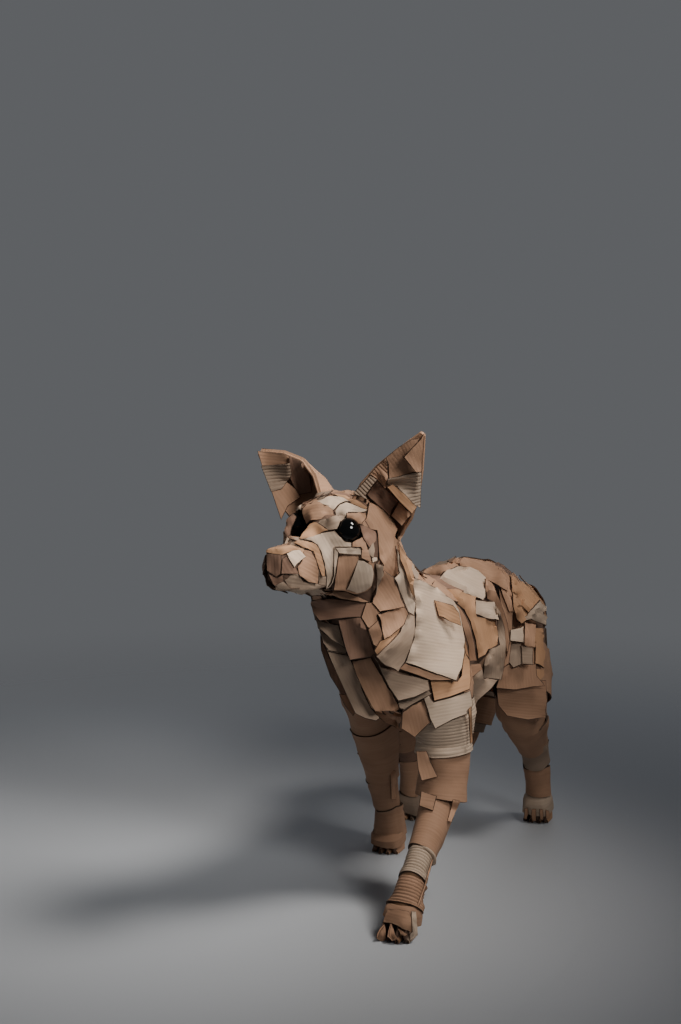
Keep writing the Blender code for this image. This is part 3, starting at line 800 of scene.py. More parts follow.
def foldedToe(spot, width, height, length, kind, spread):
    mesh = newSheet()
    bmesh.ops.create_grid(mesh, x_segments=4, y_segments=6, size=0.5)
    uLayer, vLayer = mesh.verts.layers.float["u"], mesh.verts.layers.float["v"]
    thick = toeValues["thick"]
    narrows, narrowing = toeValues["narrows"]
    falls, falling = toeValues["falls"]
    foldWide, foldHigh = toeValues["fold"]
    for vertex in mesh.verts:
        # Five points lie across the strip: a foot, a fold, the ridge, a fold and a foot.
        place, along = vertex.co.x * 4, vertex.co.y + 0.5
        wide = (width / 2 - thick) * (1 - narrows * along**narrowing)
        tall = height * (1 - falls * along**falling)
        wall = abs(place) > 1.5
        rise = {0: tall, 1: tall * foldHigh, 2: toeValues["foot"]}[round(abs(place))]
        x = math.copysign(wide if wall else wide * foldWide, place) if abs(place) > 0.5 else 0
        vertex[uLayer] = along * length
        vertex[vLayer] = place * width / 2
        vertex.co = spot + Vector((x + spread * along, -along * length, rise))
    mesh.normal_update()
    if sum(face.normal.z for face in mesh.faces) < 0:
        bmesh.ops.reverse_faces(mesh, faces=mesh.faces)
    finishBoard(mesh, kind, chance.uniform(0.85, 1.08), thick, "toeBoards", floor=0.05)


def layToes():
    for x, y in paws.values():
        for across in toeValues["across"]:
            shorter = 1 - 0.0012 * across * across
            spot = Vector((x + across, y + 5, 0))
            length = (toeValues["length"] + 5) * shorter * chance.uniform(0.93, 1.05)
            width = toeValues["width"] * chance.uniform(0.9, 1.12)
            height = toeValues["height"] * chance.uniform(0.88, 1.05)
            kind = chance.choice(("kraft", "kraft", "orange", "grey"))
            foldedToe(spot, width, height, length, kind, across * toeValues["splay"])


# Ears: each row runs from the inner rim over the back to the outer rim, in the head's frame

earRows = {
    "earLeft": [((10, 17, 24), (-30, 24, 18), (-31, 41, -8)), ((10, 30, 44), (-24, 40, 34), (-24, 61, 12)),
                ((8, 46, 60), (-14, 58, 50), (-16, 75, 34)), ((7, 66, 74), (-5, 74, 68), (-8, 85, 57)),
                ((3, 92, 91), (2, 93, 90.5), (1, 94, 89))],
    "earRight": [((10, -17, 24), (-28, -24, 18), (-26, -46, -8)),
                 ((6, -30, 48), (-22, -42, 34), (-2, -62, 4)), ((4, -46, 62), (-10, -58, 47), (8, -74, 24)),
                 ((6, -66, 68), (2, -74, 60), (11, -82, 44)),
                 ((12, -91, 69.5), (12, -92, 69), (13, -93, 68))],
}


earValues = {"run": (0.02, 0.995), "columns": 30, "rows": 60, "thick": 2.2, "step": 0.02, "wide": 55,
             "high": 105, "tone": 0.95}
# Each roll: how far across the ear, radius, tone
rimValues = {"rolls": ((0.01, 1.7, 1.12), (0.99, 0.9, 1.05)), "sides": 8, "rings": 40}


def earPoint(rows, across, along):
    at = along * (len(rows) - 1)
    low = min(int(at), len(rows) - 2)
    ends = []
    for row in rows[low : low + 2]:
        first, middle, last = [headPoint(*point) for point in row]
        control = middle * 2 - (first + last) / 2
        ends.append(first * (1 - across) ** 2 + control * 2 * across * (1 - across) + last * across**2)
    return ends[0].lerp(ends[1], at - low)


def layEar(name):
    shell = newSheet()
    bmesh.ops.create_grid(shell, x_segments=earValues["columns"], y_segments=earValues["rows"], size=0.5)
    uLayer, vLayer = shell.verts.layers.float["u"], shell.verts.layers.float["v"]
    rows, step = earRows[name], earValues["step"]
    foot, tip = earValues["run"]
    for vertex in shell.verts:
        across = vertex.co.x + 0.5
        along = foot + (tip - foot) * (vertex.co.y + 0.5)
        aside = earPoint(rows, min(1, across + step), along) - earPoint(rows, max(0, across - step), along)
        upward = earPoint(rows, across, min(1, along + step)) - earPoint(rows, across, max(0, along - step))
        normal = aside.cross(upward).normalized()
        if name == "earRight":
            normal = -normal
        vertex[uLayer] = across * earValues["wide"] * (1 - along * 0.6)
        vertex[vLayer] = along * earValues["high"]
        vertex.co = earPoint(rows, across, along) - normal * earValues["thick"] / 2
    finishBoard(shell, "kraft", earValues["tone"], earValues["thick"], name, rim="kraft")
    for across, radius, tone in rimValues["rolls"]:
        layRim(name, across, radius, tone)


def layRim(name, across, radius, tone):
    # A roll of board along an edge of the ear
    mesh = bmesh.new()
    sides, rings = rimValues["sides"], rimValues["rings"]
    rows = []
    for ring in range(rings + 1):
        along = 0.04 + 0.95 * ring / rings
        spot = earPoint(earRows[name], across, along)
        ahead = (earPoint(earRows[name], across, along + 0.01) - spot).normalized()
        side = (side - ahead * side.dot(ahead) if rows else ahead.orthogonal()).normalized()
        above = ahead.cross(side)
        thin = radius * (1 - 0.45 * ring / rings) * (1 + 0.12 * noise.noise(spot * 0.2))
        angles = [math.tau * i / sides for i in range(sides)]
        ways = [side * math.cos(angle) + above * math.sin(angle) for angle in angles]
        rows.append([mesh.verts.new(spot + way * thin) for way in ways])
    for low, high in zip(rows, rows[1:]):
        for i in range(sides):
            mesh.faces.new((low[i - 1], low[i], high[i], high[i - 1]))
    mesh.faces.new(rows[0])
    mesh.faces.new(rows[-1][::-1])
    bmesh.ops.recalc_face_normals(mesh, faces=mesh.faces)
    paint(mesh, "kraft", tone, (0, 0, 1), (0, 1, 0))
    pile.add(mesh)
    keep(mesh, name)


# Laying it all, from the form outwards

def shareAt(name, axis, value):
    rows = paths[name]
    travelled = 0
    for near, far in zip(rows, rows[1:]):
        ahead = Vector(far[:3]) - Vector(near[:3])
        if min(near[axis], far[axis]) <= value <= max(near[axis], far[axis]):
            share = (value - near[axis]) / (far[axis] - near[axis])
            return (travelled + ahead.length * share) / pathLength(name)
        travelled += ahead.length
    return 1.0


def underBands(piece, name, top, bottom, step):
    high = top
    while high > bottom + step * 0.4:
        low = max(bottom, high - step * chance.uniform(0.95, 1.35))
        kind, tone = chance.choice(("kraft", "dark", "kraft", "orange", "grey")), chance.uniform(0.85, 1.05)
        turn = chance.uniform(0, math.tau)
        tilts = chance.uniform(-2, 2), chance.uniform(-2, 2)
        layWrap(piece, name, shareAt(name, 2, high), shareAt(name, 2, low), kind, tone, turn=turn,
                thick=1.1, tilts=tilts, phase=chance.uniform(0, math.tau))
        high = low + step * 0.12


bands = {
    "frontLeftWideCuff": ("frontLeft", 149, 103, "kraft", 1.06, {"flare": 4, "turn": 2.6, "tilts": (0, 2)}),
    "frontLeftUpperCuff": ("frontLeft", 198, 148, "pale", 0.95, {"ribs": 0.45, "turn": 2.6, "ease": 40}),
    "frontLeftForearmCuff": ("frontLeft", 104, 64, "kraft", 1.0, {"tilts": (0, 3), "turn": 1.0}),
    "frontLeftRibbedCuff": ("frontLeft", 64, 46, "pale", 1.0, {"ribs": 1.0, "turn": 2.0}),
    "frontLeftWristCuff": ("frontLeft", 46, 25, "kraft", 1.0, {"ribs": 0.6, "turn": 1.0}),
    "frontRightUpperCuff": ("frontRight", 155, 122, "kraft", 0.95, {"tilts": (2, 2)}),
    "frontRightForearmCuff": ("frontRight", 124, 87, "kraft", 0.98, {"tilts": (2, -2)}),
    "frontRightShinCuff": ("frontRight", 89, 53, "kraft", 0.95, {"tilts": (3, 2)}),
    "frontRightWristCuff": ("frontRight", 54, 20, "kraft", 0.9, {"tilts": (2, 1)}),
    "hindLeftHockCuff": ("hindLeft", 134, 97, "kraft", 1.0, {"tilts": (1, 2)}),
    "hindLeftShankCuff": ("hindLeft", 99, 74, "grey", 1.0, {"tilts": (2, 3)}),
    "hindLeftAnkleCuff": ("hindLeft", 66, 32, "kraft", 1.05, {"tilts": (1, 1)}),
    "hindRightHockCuff": ("hindRight", 130, 98, "kraft", 0.95, {"tilts": (2, -2)}),
    "hindRightAnkleCuff": ("hindRight", 74, 32, "kraft", 0.95, {"tilts": (2, 2)}),
    "tailUpperCuff": ("tail", 202, 174, "kraft", 0.95, {"tilts": (2, 3)}),
    "tailMiddleCuff": ("tail", 170, 138, "grey", 0.95, {"tilts": (-2, 3)}),
    "tailLowerCuff": ("tail", 132, 100, "kraft", 0.95, {"tilts": (2, -2)}),
}
# Smooth tubes of board that make the limbs under those: limb, heights, kind, tone
tubes = [
    ("hindLeft", 172, 128, "kraft", 0.98), ("hindLeft", 210, 164, "kraft", 1.0),
    ("hindLeft", 76, 60, "pale", 0.95), ("hindLeft", 34, 15, "pale", 1.0),
    ("hindRight", 202, 176, "kraft", 0.92),
    ("hindRight", 184, 142, "grey", 0.92), ("hindRight", 150, 126, "kraft", 0.9),
    ("hindRight", 100, 72, "dark", 0.95), ("hindRight", 34, 15, "grey", 0.9),
    ("frontRight", 205, 152, "kraft", 0.92),
    ("frontRight", 24, 13, "kraft", 0.9), ("frontLeft", 28, 12, "kraft", 1.0),
]

# Painted shade: all cuffs and tubes are darker than the boards of the body, for the shade the legs stand in
# below the body.
limbShadeTone = 0.86

# Boards traced on the photograph: piece, kind, tone, grain in degrees, outline in its pixels
traced = [
    # Haunch and hip
    ("legBoards", "kraft", 0.88, 5, [(496, 683), (512, 684), (530, 682), (546, 680), (547, 700), (545, 717),
        (528, 720), (507, 716), (498, 705)]),
    ("haunchBoards", "kraft", 0.98, 85, [(496, 688), (500, 672), (506, 662), (514, 660), (524, 664),
        (536, 664), (537, 676), (543, 683), (545, 686), (533, 687), (515, 690)]),
    ("haunchBoards", "grey", 0.98, 85, [(509, 640), (522, 643), (523, 664), (513, 668), (508, 662)]),
    ("haunchBoards", "kraft", 0.92, 80, [(498, 588), (507, 600), (513, 612), (512, 640), (509, 664),
        (503, 668), (506, 640), (502, 612)]),
    ("haunchBoards", "kraft", 1.0, 60, [(499, 566), (508, 577), (513, 592), (515, 612), (509, 612),
        (501, 592), (496, 580)]),
    ("haunchBoards", "orange", 0.95, 60, [(511, 590), (517, 598), (528, 612), (527, 620), (521, 624),
        (516, 619), (513, 607)]),
    ("haunchSquare", "pale", 1.15, 5, [(510, 630), (523, 627), (524.5, 643), (510, 641)]),
    ("haunchBoards", "kraft", 1.05, 85, [(524, 622), (534.5, 625), (534.5, 648), (524, 645)]),
    ("haunchLight", "grey", 1.12, 5, [(521, 645), (533, 648), (533, 665), (522, 664)]),
    ("haunchStrip", "orange", 1.0, 88, [(534.5, 625), (548, 627), (549, 645), (548.5, 668), (534.5, 664)]),
    ("haunchLowerStrip", "orange", 0.92, 88, [(533, 664.5), (548.5, 669), (547, 683), (543, 683),
        (535, 677)]),
    ("hipStrip", "orange", 1.08, 50, [(510, 571), (516, 575), (533, 594), (539, 600), (537, 605),
        (528, 613), (520, 604), (511, 591)]),
    ("hipCorner", "pale", 0.95, 30, [(539, 600), (545, 607), (547.5, 627), (538, 622), (530, 619),
        (525, 622), (522, 624), (528, 613)]),
    # Back and flank
    ("trunkBoards", "kraft", 1.0, 20, [(418, 578), (430, 564), (443, 556), (458, 553), (458, 567),
        (444, 573), (435, 584), (425, 582)]),
    ("rumpCap", "kraft", 1.1, 15, [(452, 567), (446, 556), (458, 552.5), (476, 553.5), (492, 559),
        (501, 567), (506, 580), (508, 592), (498, 586), (486, 580), (470, 569)]),
    ("backPatch", "pale", 1.08, 25, [(434, 583.5), (444, 573), (456, 566), (466, 566.5), (478, 572),
        (485, 579), (485, 598), (482, 600.5), (474, 597), (455, 590)]),
    ("trunkBoards", "kraft", 1.0, 80, [(484, 579), (491, 584), (500, 600), (508, 624), (510, 642),
        (507, 657), (505, 640), (501, 618), (494, 602), (486, 598)]),
    ("flankSheet", "orange", 1.0, 75, [(441, 588), (455, 589), (475, 598), (476, 616), (496, 620.5),
        (497, 640), (498, 645), (487, 650), (485, 655), (478, 659), (475, 640), (470, 622), (463, 609),
        (454, 601)]),
    ("flankSquare", "pale", 0.95, 5, [(475, 600), (482, 601), (493, 602.5), (497, 612), (498, 621.5),
        (488, 619), (476, 615.5)]),
    ("trunkBoards", "kraft", 0.95, 75, [(454, 602), (460, 607), (466, 616), (471, 630), (475, 648),
        (476.5, 660), (469, 661), (468, 645), (464, 632), (460, 617)]),
    ("trunkBoards", "orange", 0.95, 75, [(459, 626), (463, 632), (467, 646), (470, 660), (465, 653),
        (463, 640)]),
    ("bellySheet", "grey", 1.1, 20, [(471, 680), (474, 670), (482, 666), (483, 678), (498, 680), (491, 689),
        (478, 700), (474, 708), (471, 692)]),
    ("trunkBoards", "kraft", 0.95, -20, [(469, 664), (481, 663), (482, 669), (473, 677), (470, 676)]),
    ("flankStrip", "grey", 1.1, 85, [(495, 603), (500, 612), (505, 629), (506, 648), (504, 668),
        (501.5, 680), (481.5, 677), (485.5, 655), (488, 650), (498, 645), (497, 622)]),
    # Chest and throat
    ("neckBoards", "dark", 0.95, 88, [(320, 634), (327, 651), (347, 694), (341, 694), (330, 676),
        (321, 650)]),
    ("neckBoards", "kraft", 0.85, 70, [(339, 694), (347, 694), (356, 712), (353, 716), (345, 706)]),
    ("chestLeftStrip", "grey", 0.98, 65, [(327, 651), (348, 655), (353, 664), (364, 692), (371, 707),
        (380, 718), (376, 721), (364, 718), (355, 713), (347, 695)]),
    ("neckBoards", "kraft", 0.9, 0, [(371, 710), (402, 710), (401, 722), (399, 729), (384, 722)]),
    ("chestStrip", "kraft", 1.0, 70, [(352, 661), (371, 657), (378, 669), (388, 686), (400, 707),
        (398, 710.5), (374, 711), (365, 693), (356, 675)]),
    ("neckBoards", "grey", 0.95, -15, [(397, 700), (429, 690), (432, 694), (404, 709.5), (399, 708)]),
    ("chestRightSheet", "grey", 0.98, 15, [(374, 656), (381, 667), (396, 671), (428, 680), (430, 690),
        (415, 697), (398, 701), (388, 686), (380, 670)]),
    ("breastTongue", "kraft", 0.95, 75, [(402, 711), (412, 705), (424, 699), (431, 722), (415, 737.5),
        (401, 728)]),
    ("neckBoards", "grey", 1.0, 60, [(319, 629), (332, 639), (348, 650), (346, 654), (329, 651),
        (323, 643)]),
    ("neckBoards", "grey", 0.95, 40, [(313, 612), (320, 621), (339, 625), (343, 640), (345, 648),
        (332, 640), (319, 628)]),
    ("throatSheet", "dark", 1.05, 5, [(312, 600), (330, 598), (365, 602), (368, 622), (366, 627),
        (361, 617), (338, 618.5), (320, 621), (313, 612)]),
    ("neckBoards", "kraft", 0.95, 70, [(366, 602), (372, 602), (381, 612), (377, 616), (379, 625),
        (372, 630), (367, 627), (361, 617)]),
    ("upperChestSheet", "dark", 1.0, 85, [(338, 619), (361, 617), (367, 628), (372, 643), (375, 653),
        (371, 657), (350, 660), (346, 650), (343, 640)]),
    ("neckBoards", "kraft", 0.9, 75, [(368, 629), (378, 620), (384, 640), (378, 648), (373, 644)]),
    ("neckBoards", "orange", 1.0, -40, [(374, 650), (380, 641), (391, 635), (404, 624), (400, 634),
        (388, 646), (378, 657)]),
    ("shoulderFrontSheet", "grey", 1.12, -40, [(407, 614), (415, 616), (415, 632), (412, 643), (405, 661),
        (398, 671), (384, 664), (376, 656), (388, 644), (399, 632)]),
    # Neck beside the cheek
    ("neckBoards", "kraft", 1.02, 70, [(377, 614), (404, 606), (409, 613), (404, 625), (391, 636),
        (384, 640), (380, 622)]),
    ("neckBoards", "kraft", 1.1, 60, [(374, 592), (384, 570), (394, 577), (401, 598), (405, 607),
        (380, 612), (372, 603)]),
    ("neckBoards", "pale", 1.0, 72, [(396, 545), (401, 560), (405, 572), (411, 586), (414, 598), (416, 604),
        (414, 616), (408, 612), (402, 598), (394, 578), (398, 573)]),
    ("neckBoards", "orange", 1.0, 72, [(398, 540), (403, 550), (409, 566), (412, 578), (416, 600),
        (411, 592), (405, 573), (400, 560)]),
    # Shoulder
    ("shoulderLowerBand", "orange", 1.1, -15, [(429.5, 679), (456, 681.5), (461, 677), (463, 660),
        (465, 652), (470, 661), (471, 680), (469.5, 690), (450, 697), (434, 701)]),
    ("shoulderLightBand", "pale", 0.92, -10, [(424, 698), (429, 695), (433, 701.5), (452, 697),
        (470.5, 690.5), (473, 705), (470, 713), (452, 720), (435, 729), (430, 719)]),
    ("trunkBoards", "kraft", 1.0, 15, [(399, 668), (405, 662.5), (432, 672.5), (456, 681), (430, 680)]),
    ("shoulderSheet", "pale", 1.05, 10, [(411, 577), (421, 580), (436, 588), (453, 600), (459, 610),
        (463, 628), (465, 640), (465, 650), (462, 668), (456, 681), (430, 672), (405, 662), (409, 652),
        (414, 636), (415.5, 615), (414, 600)]),
    ("shoulderPatch", "orange", 1.08, 25, [(434, 600), (453, 605), (459, 613), (461.5, 626), (448, 620.5),
        (438, 616)]),
    # Forelegs
    ("legBoards", "kraft", 1.0, 75, [(416, 751), (427, 751), (431, 762), (438, 777), (421.5, 781),
        (418, 770)]),
    ("legBoards", "kraft", 0.95, 10, [(421, 791), (437, 796), (433, 811), (419, 806)]),
    ("legBoards", "orange", 0.95, 85, [(468, 709), (471.5, 706), (473, 742), (470, 744)]),
]
# These have a piece of their own on the hidden side.
twoSided = ("backPatch", "flankSheet", "flankStrip", "hipStrip", "haunchStrip", "shoulderSheet",
            "shoulderPatch")

traceHead = [
    # Crown and brows
    ("headBoards", "dark", 1.0, 10, [(288, 504), (300, 497), (312, 492), (330, 490.3), (346, 492.5),
        (358, 497), (367, 504), (368, 511), (352, 505), (331, 495), (313, 497), (300, 501)]),
    ("headBoards", "kraft", 1.12, -30, [(288, 506), (296, 501), (307, 497), (303, 505), (302, 514),
        (304, 521), (296, 515)]),
    ("headBoards", "orange", 1.05, 20, [(331, 491.5), (345, 494), (358, 499.5), (368, 507), (366, 510),
        (352, 504), (343, 499), (332, 495)]),
    ("headBoards", "kraft", 1.08, -10, [(303, 499), (309, 494.8), (314, 494.5), (333, 510), (334, 515),
        (328, 518), (312, 521), (306, 525), (303, 520), (302, 508)]),
    ("foreheadSheet", "pale", 1.12, 25, [(314, 495), (323, 495.5), (330, 492.8), (344, 497.5), (352, 502),
        (345, 502), (339.5, 504.5), (333.5, 510.5), (331, 509.5), (316, 499)]),
    # Painted shade: a dark board beyond the far eye, standing for the shade there
    ("headBoards", "dark", 0.95, 80, [(284, 512), (290, 511), (297, 517), (292, 528), (289, 541),
        (284, 541)]),
    ("headBoards", "grey", 1.02, -25, [(334, 514.5), (347.5, 515), (347.5, 521), (342, 522), (337, 529),
        (329, 530.5), (318, 523), (320, 520), (331, 517)]),
    ("headBoards", "pale", 1.1, 10, [(335, 511), (339.5, 505), (346, 502.5), (353, 504), (361, 508),
        (368, 509.5), (365, 512.5), (348, 513), (347, 517), (336, 515.5)]),
    ("leftBrow", "kraft", 1.05, 5, [(347, 512.5), (367.5, 512), (366, 518.5), (361, 525), (356, 523),
        (347, 520)]),
    # Bridge, bands and nose
    ("headBoards", "orange", 1.12, -30, [(299, 539), (306, 525), (314, 522), (318, 523), (329, 530.5),
        (322, 533), (310, 540)]),
    ("muzzleLightBand", "pale", 1.08, 60, [(300, 539), (311, 537), (322, 532.5), (335, 530.5), (338, 534),
        (345, 541), (351.5, 542.5), (351.5, 547), (335.5, 547), (334, 556), (333.5, 575), (331, 587),
        (326, 589), (326, 575), (324, 563), (321, 552), (317, 545), (311, 541)]),
    ("headBoards", "pale", 0.95, 85, [(334, 547), (339, 547.5), (338.5, 553), (336, 570), (333, 589),
        (329.5, 590), (333, 575)]),
    ("headBoards", "grey", 1.05, 0, [(318, 566), (322, 575), (326, 576), (326, 586), (318, 585)]),
    ("muzzleFrontBand", "orange", 1.08, 30, [(293, 543), (299, 538.5), (308, 540.5), (316, 544), (319, 548),
        (322, 557), (325, 568), (325.5, 576), (321.5, 576), (318, 566), (313, 551.5), (303, 548)]),
    ("headBoards", "grey", 0.95, 10, [(281, 575), (299, 573), (303, 581), (318, 583.5), (327, 586),
        (330, 590), (300, 591), (289, 588)]),
    ("headBoards", "dark", 1.0, 10, [(268, 574), (278, 578), (283, 574), (284, 583), (277, 588),
        (273, 584)]),
    ("headBoards", "grey", 1.0, 5, [(275, 585), (283, 581), (290, 587), (302, 591), (300, 594), (284, 593),
        (277, 590)]),
    ("headBoards", "kraft", 1.0, 25, [(299, 548), (311, 551), (316, 560), (319, 571), (318, 584),
        (308, 582), (299, 576), (297, 567), (301, 561)]),
    ("headBoards", "orange", 1.12, 5, [(264.5, 549.5), (273, 546), (283, 544.8), (292, 545), (304, 549),
        (304, 557), (290, 552), (282, 555), (266, 553)]),
    ("headBoards", "dark", 0.95, 85, [(265.5, 553), (282, 555), (282, 560), (281, 574), (277, 577),
        (267, 571)]),
    ("headBoards", "dark", 1.0, 60, [(282, 559), (286, 556), (291, 561), (296, 568), (299, 574), (290, 574),
        (281, 574)]),
    ("noseSheet", "pale", 1.25, 40, [(286, 554.5), (291, 551), (300, 549), (306, 557), (302, 560),
        (297, 564), (294, 568), (291, 563)]),
    # Jaw and cheek
    ("headBoards", "kraft", 0.92, 3, [(291, 592), (330, 590.5), (346, 591), (371, 602.5), (362, 602.5),
        (345, 599), (320, 597), (300, 595)]),
    ("cheekPlate", "kraft", 1.05, 85, [(339, 552), (361, 554), (374, 562), (372, 600), (346, 592),
        (333, 590), (336, 570)]),
    ("headBoards", "pale", 1.02, 0, [(335, 547.5), (351, 547), (361.5, 547.5), (361.5, 555),
        (339, 553.5)]),
    ("headBoards", "kraft", 1.08, 0, [(361, 549), (368, 549), (370, 556), (372, 563), (361, 558)]),
    ("lightCheek", "pale", 0.98, 80, [(358, 559.5), (364, 560.5), (372, 565), (375.5, 575), (376, 585),
        (374.5, 593), (371, 603), (366, 601), (346, 590.5), (354, 571)]),
    ("headBoards", "pale", 1.2, 0, [(371, 556), (377, 557), (378.5, 560.5), (372, 563)]),
    ("headBoards", "kraft", 1.0, 80, [(352, 542.5), (359, 539), (362, 537), (369, 548), (367, 556),
        (361, 548), (352, 547)]),
    ("headBoards", "dark", 1.08, 40, [(360, 525), (368, 527), (376, 532), (376, 541), (371, 546),
        (369, 549), (363, 538), (361, 532)]),
    ("headBoards", "grey", 1.0, 80, [(371, 545), (376, 541), (378, 560), (371, 557), (367, 552)]),
    ("headBoards", "grey", 1.08, 80, [(376, 563), (383, 565), (384, 575), (378, 590), (374, 598),
        (377, 580)]),
    ("templeSheet", "kraft", 1.12, 60, [(361, 524.5), (366, 518.5), (369, 500.5), (375, 502), (384, 508),
        (391, 516), (400, 527), (397, 536), (395, 546), (391, 557), (384, 567), (379, 558), (377.5, 535),
        (376, 531), (367, 528)]),
]

# Boards in the ears: ear, kind, tone, grain, outline, depth of the flutes' ribs
traceEars = [
    ("earRight", "kraft", 0.98, 5, [(257.5, 451), (284, 453), (290, 457), (290, 464), (262, 466)], 0),
    # Painted shade: a dark board inside the far ear, standing for the shade within it
    ("earRight", "dark", 0.95, 70, [(289, 456), (303, 461.5), (309, 472), (312, 492), (298, 495),
        (290, 478)], 0),
    ("earRight", "kraft", 1.05, 55, [(271, 490), (286, 481), (296, 489), (301, 497), (288, 506), (281, 520),
        (277, 508)], 0),
    ("earRight", "grey", 1.05, -5, [(261, 466), (290, 463), (292, 474), (287, 482), (282, 489),
        (271, 492)], 0.8),
    ("earLeft", "kraft", 0.92, 60, [(386, 457), (400, 446), (412, 439), (420, 438), (416, 446), (404, 456),
        (410, 464), (417, 471.5), (389, 479), (388, 463)], 0),
    ("earLeft", "kraft", 1.08, 70, [(404, 457), (421, 438), (424.5, 433), (422.5, 455), (421.5, 472),
        (416, 472.5)], 0),
    ("earLeft", "pale", 1.0, -8, [(387, 478.5), (400, 475.5), (421.8, 470.5), (421.5, 480), (420.5, 508),
        (412, 503), (397, 487), (387, 485)], 0.8),
    ("earLeft", "dark", 1.05, 40, [(367, 494), (372, 486), (377, 480), (386, 489), (399, 501), (392, 510),
        (390, 516.5), (380, 507), (370, 498)], 0),
    ("earLeft", "orange", 1.08, 45, [(387, 487), (393, 484), (404, 493), (417, 507), (412, 514),
        (400, 502)], 0),
    ("earLeft", "kraft", 1.1, 40, [(399, 502), (412, 514), (402, 526), (391, 516)], 0),
    ("earLeft", "grey", 1.05, 45, [(353, 493), (362, 484), (370, 475), (377, 480), (371, 488), (366, 495),
        (368, 500)], 0.7),
    ("earLeft", "kraft", 1.08, 45, [(369.5, 474.5), (377, 466), (386, 457.5), (388, 463), (388, 478),
        (386, 489), (377, 479)], 0.5),
]

# Boards of the paws and forelegs
tracePaws = [
    ("toeBoards", "kraft", 0.95, 80, [(384.5, 924.5), (385.6, 928), (386, 934), (385, 941), (381, 941.5),
        (376, 938), (377, 933), (380, 928)]),
    ("toeBoards", "kraft", 1.05, 80, [(390, 924), (392, 925), (394, 930), (396.5, 936), (400, 939),
        (396, 939.7), (392.5, 941), (387.3, 936.5), (388, 931)]),
    ("toeBoards", "kraft", 1.05, 40, [(396.5, 927.3), (400, 929), (404, 932), (408, 934), (405.5, 936.5),
        (401, 934.5)]),
    ("toeBoards", "kraft", 1.15, 80, [(384, 924), (385, 925.5), (380.5, 931), (378.3, 937), (376.2, 938.5),
        (377, 933), (380, 928)]),
    ("toeBoards", "kraft", 1.18, 80, [(390, 924), (391.3, 925), (389.6, 931), (389.3, 935.7), (393, 939.3),
        (400, 938.8), (396, 940), (392.5, 941.3), (387, 936.6), (388, 931)]),
    ("toeBoards", "kraft", 0.95, 90, [(524.5, 808), (528, 808), (528.6, 814), (527, 819), (524, 818)]),
    ("toeBoards", "kraft", 1.1, 90, [(532.2, 809), (536, 809), (536.4, 815), (536, 821), (532.5, 820),
        (531.3, 814)]),
    ("toeBoards", "kraft", 1.05, 90, [(539.5, 809), (543, 809.5), (543.6, 815), (543, 820), (540, 819),
        (539.5, 813)]),
    ("toeBoards", "kraft", 1.0, 90, [(545.5, 809.5), (549, 811), (550, 816), (548, 819), (545.5, 818)]),
    ("legBoards", "kraft", 1.12, 15, [(388, 909), (400, 909.5), (409, 911.5), (411.5, 918), (412, 933),
        (402, 928), (392.5, 923.5), (383, 922.5), (385, 915)]),
    ("legBoards", "pale", 1.0, 80, [(411, 911), (416, 911.5), (417, 932), (414, 938), (410, 941),
        (409.5, 934), (412, 931)]),
    ("legBoards", "kraft", 1.05, 80, [(431, 861), (434, 858), (425, 889), (418.5, 908), (416, 908),
        (423, 889)]),
    ("legBoards", "kraft", 1.08, 80, [(390, 770), (396, 771), (396, 800), (391, 799)]),
    ("legBoards", "kraft", 1.12, 80, [(453, 799), (460.5, 801), (451, 822), (447, 821.5)]),
]


# How far from the mirror's plane a board must stay, for flips 1 and 2
sideValues = {1: 5, 2: 3}
# Pixel bounds of parts of the fox: from the photograph's left, and the flank's from its top
places = {"shoulder": 400, "haunch": 525, "nose": 270, "flank": 640}
# How far a board may stand off the form where it is drawn in
drapes = {"back": 8, "haunch": 6.5, "hidden": 5.5, "head": 4.5, "headHidden": 2.5}


def onOneSide(outline, flip):
    across = mirrored(Vector((1, 0, 0)), flip, True) - Vector((1, 0, 0))
    middle = headValues["centre"] if flip == 2 else Vector()
    clear = sideValues[flip]
    for x, y in outline:
        hit = firstHit([pile.layers[0][0]], *sight(x, y))
        if hit and (hit[0] - middle).dot(-across.normalized()) < clear:
            return False
    return True


bodyForm()
for name, spot in eyeSpots.items():
    mesh = bmesh.new()
    bmesh.ops.create_uvsphere(mesh, u_segments=48, v_segments=32, radius=headValues["eye"],
                              matrix=Matrix.Translation(headPoint(*spot)))
    for face in mesh.faces:
        face.smooth = True
    pile.add(mesh)
    keep(mesh, name)
for name in earRows:
    layEar(name)
print("form, eyes and ears made")

for name, top, bottom in (("frontLeft", 150, 14), ("frontRight", 160, 14), ("hindLeft", 175, 14),
                          ("hindRight", 175, 14), ("tail", 232, 60)):
    underBands("tailBoards" if name == "tail" else "legBoards", name, top, bottom, 34)
layToes()
print("leg bands and toes laid")

patchwork("trunkBoards", "trunk", 46, 36)
patchwork("neckBoards", "neck", 28, 24, rise=7, drop=10)
for name in ("frontLeft", "frontRight", "hindLeft", "hindRight"):
    patchwork("legBoards", name, 34, 28, 0.02, shareAt(name, 2, 205), thick=1.1)
patchwork("headBoards", "head", 24, 22, rise=8, drop=8, thick=1.0)
patchwork("headBoards", "face", 15, 15, rise=8, drop=6, thick=0.9)
patchwork("headBoards", "muzzle", 16, 14, 0, 0.8, rise=5, drop=5, thick=0.9)
print("patchwork laid")

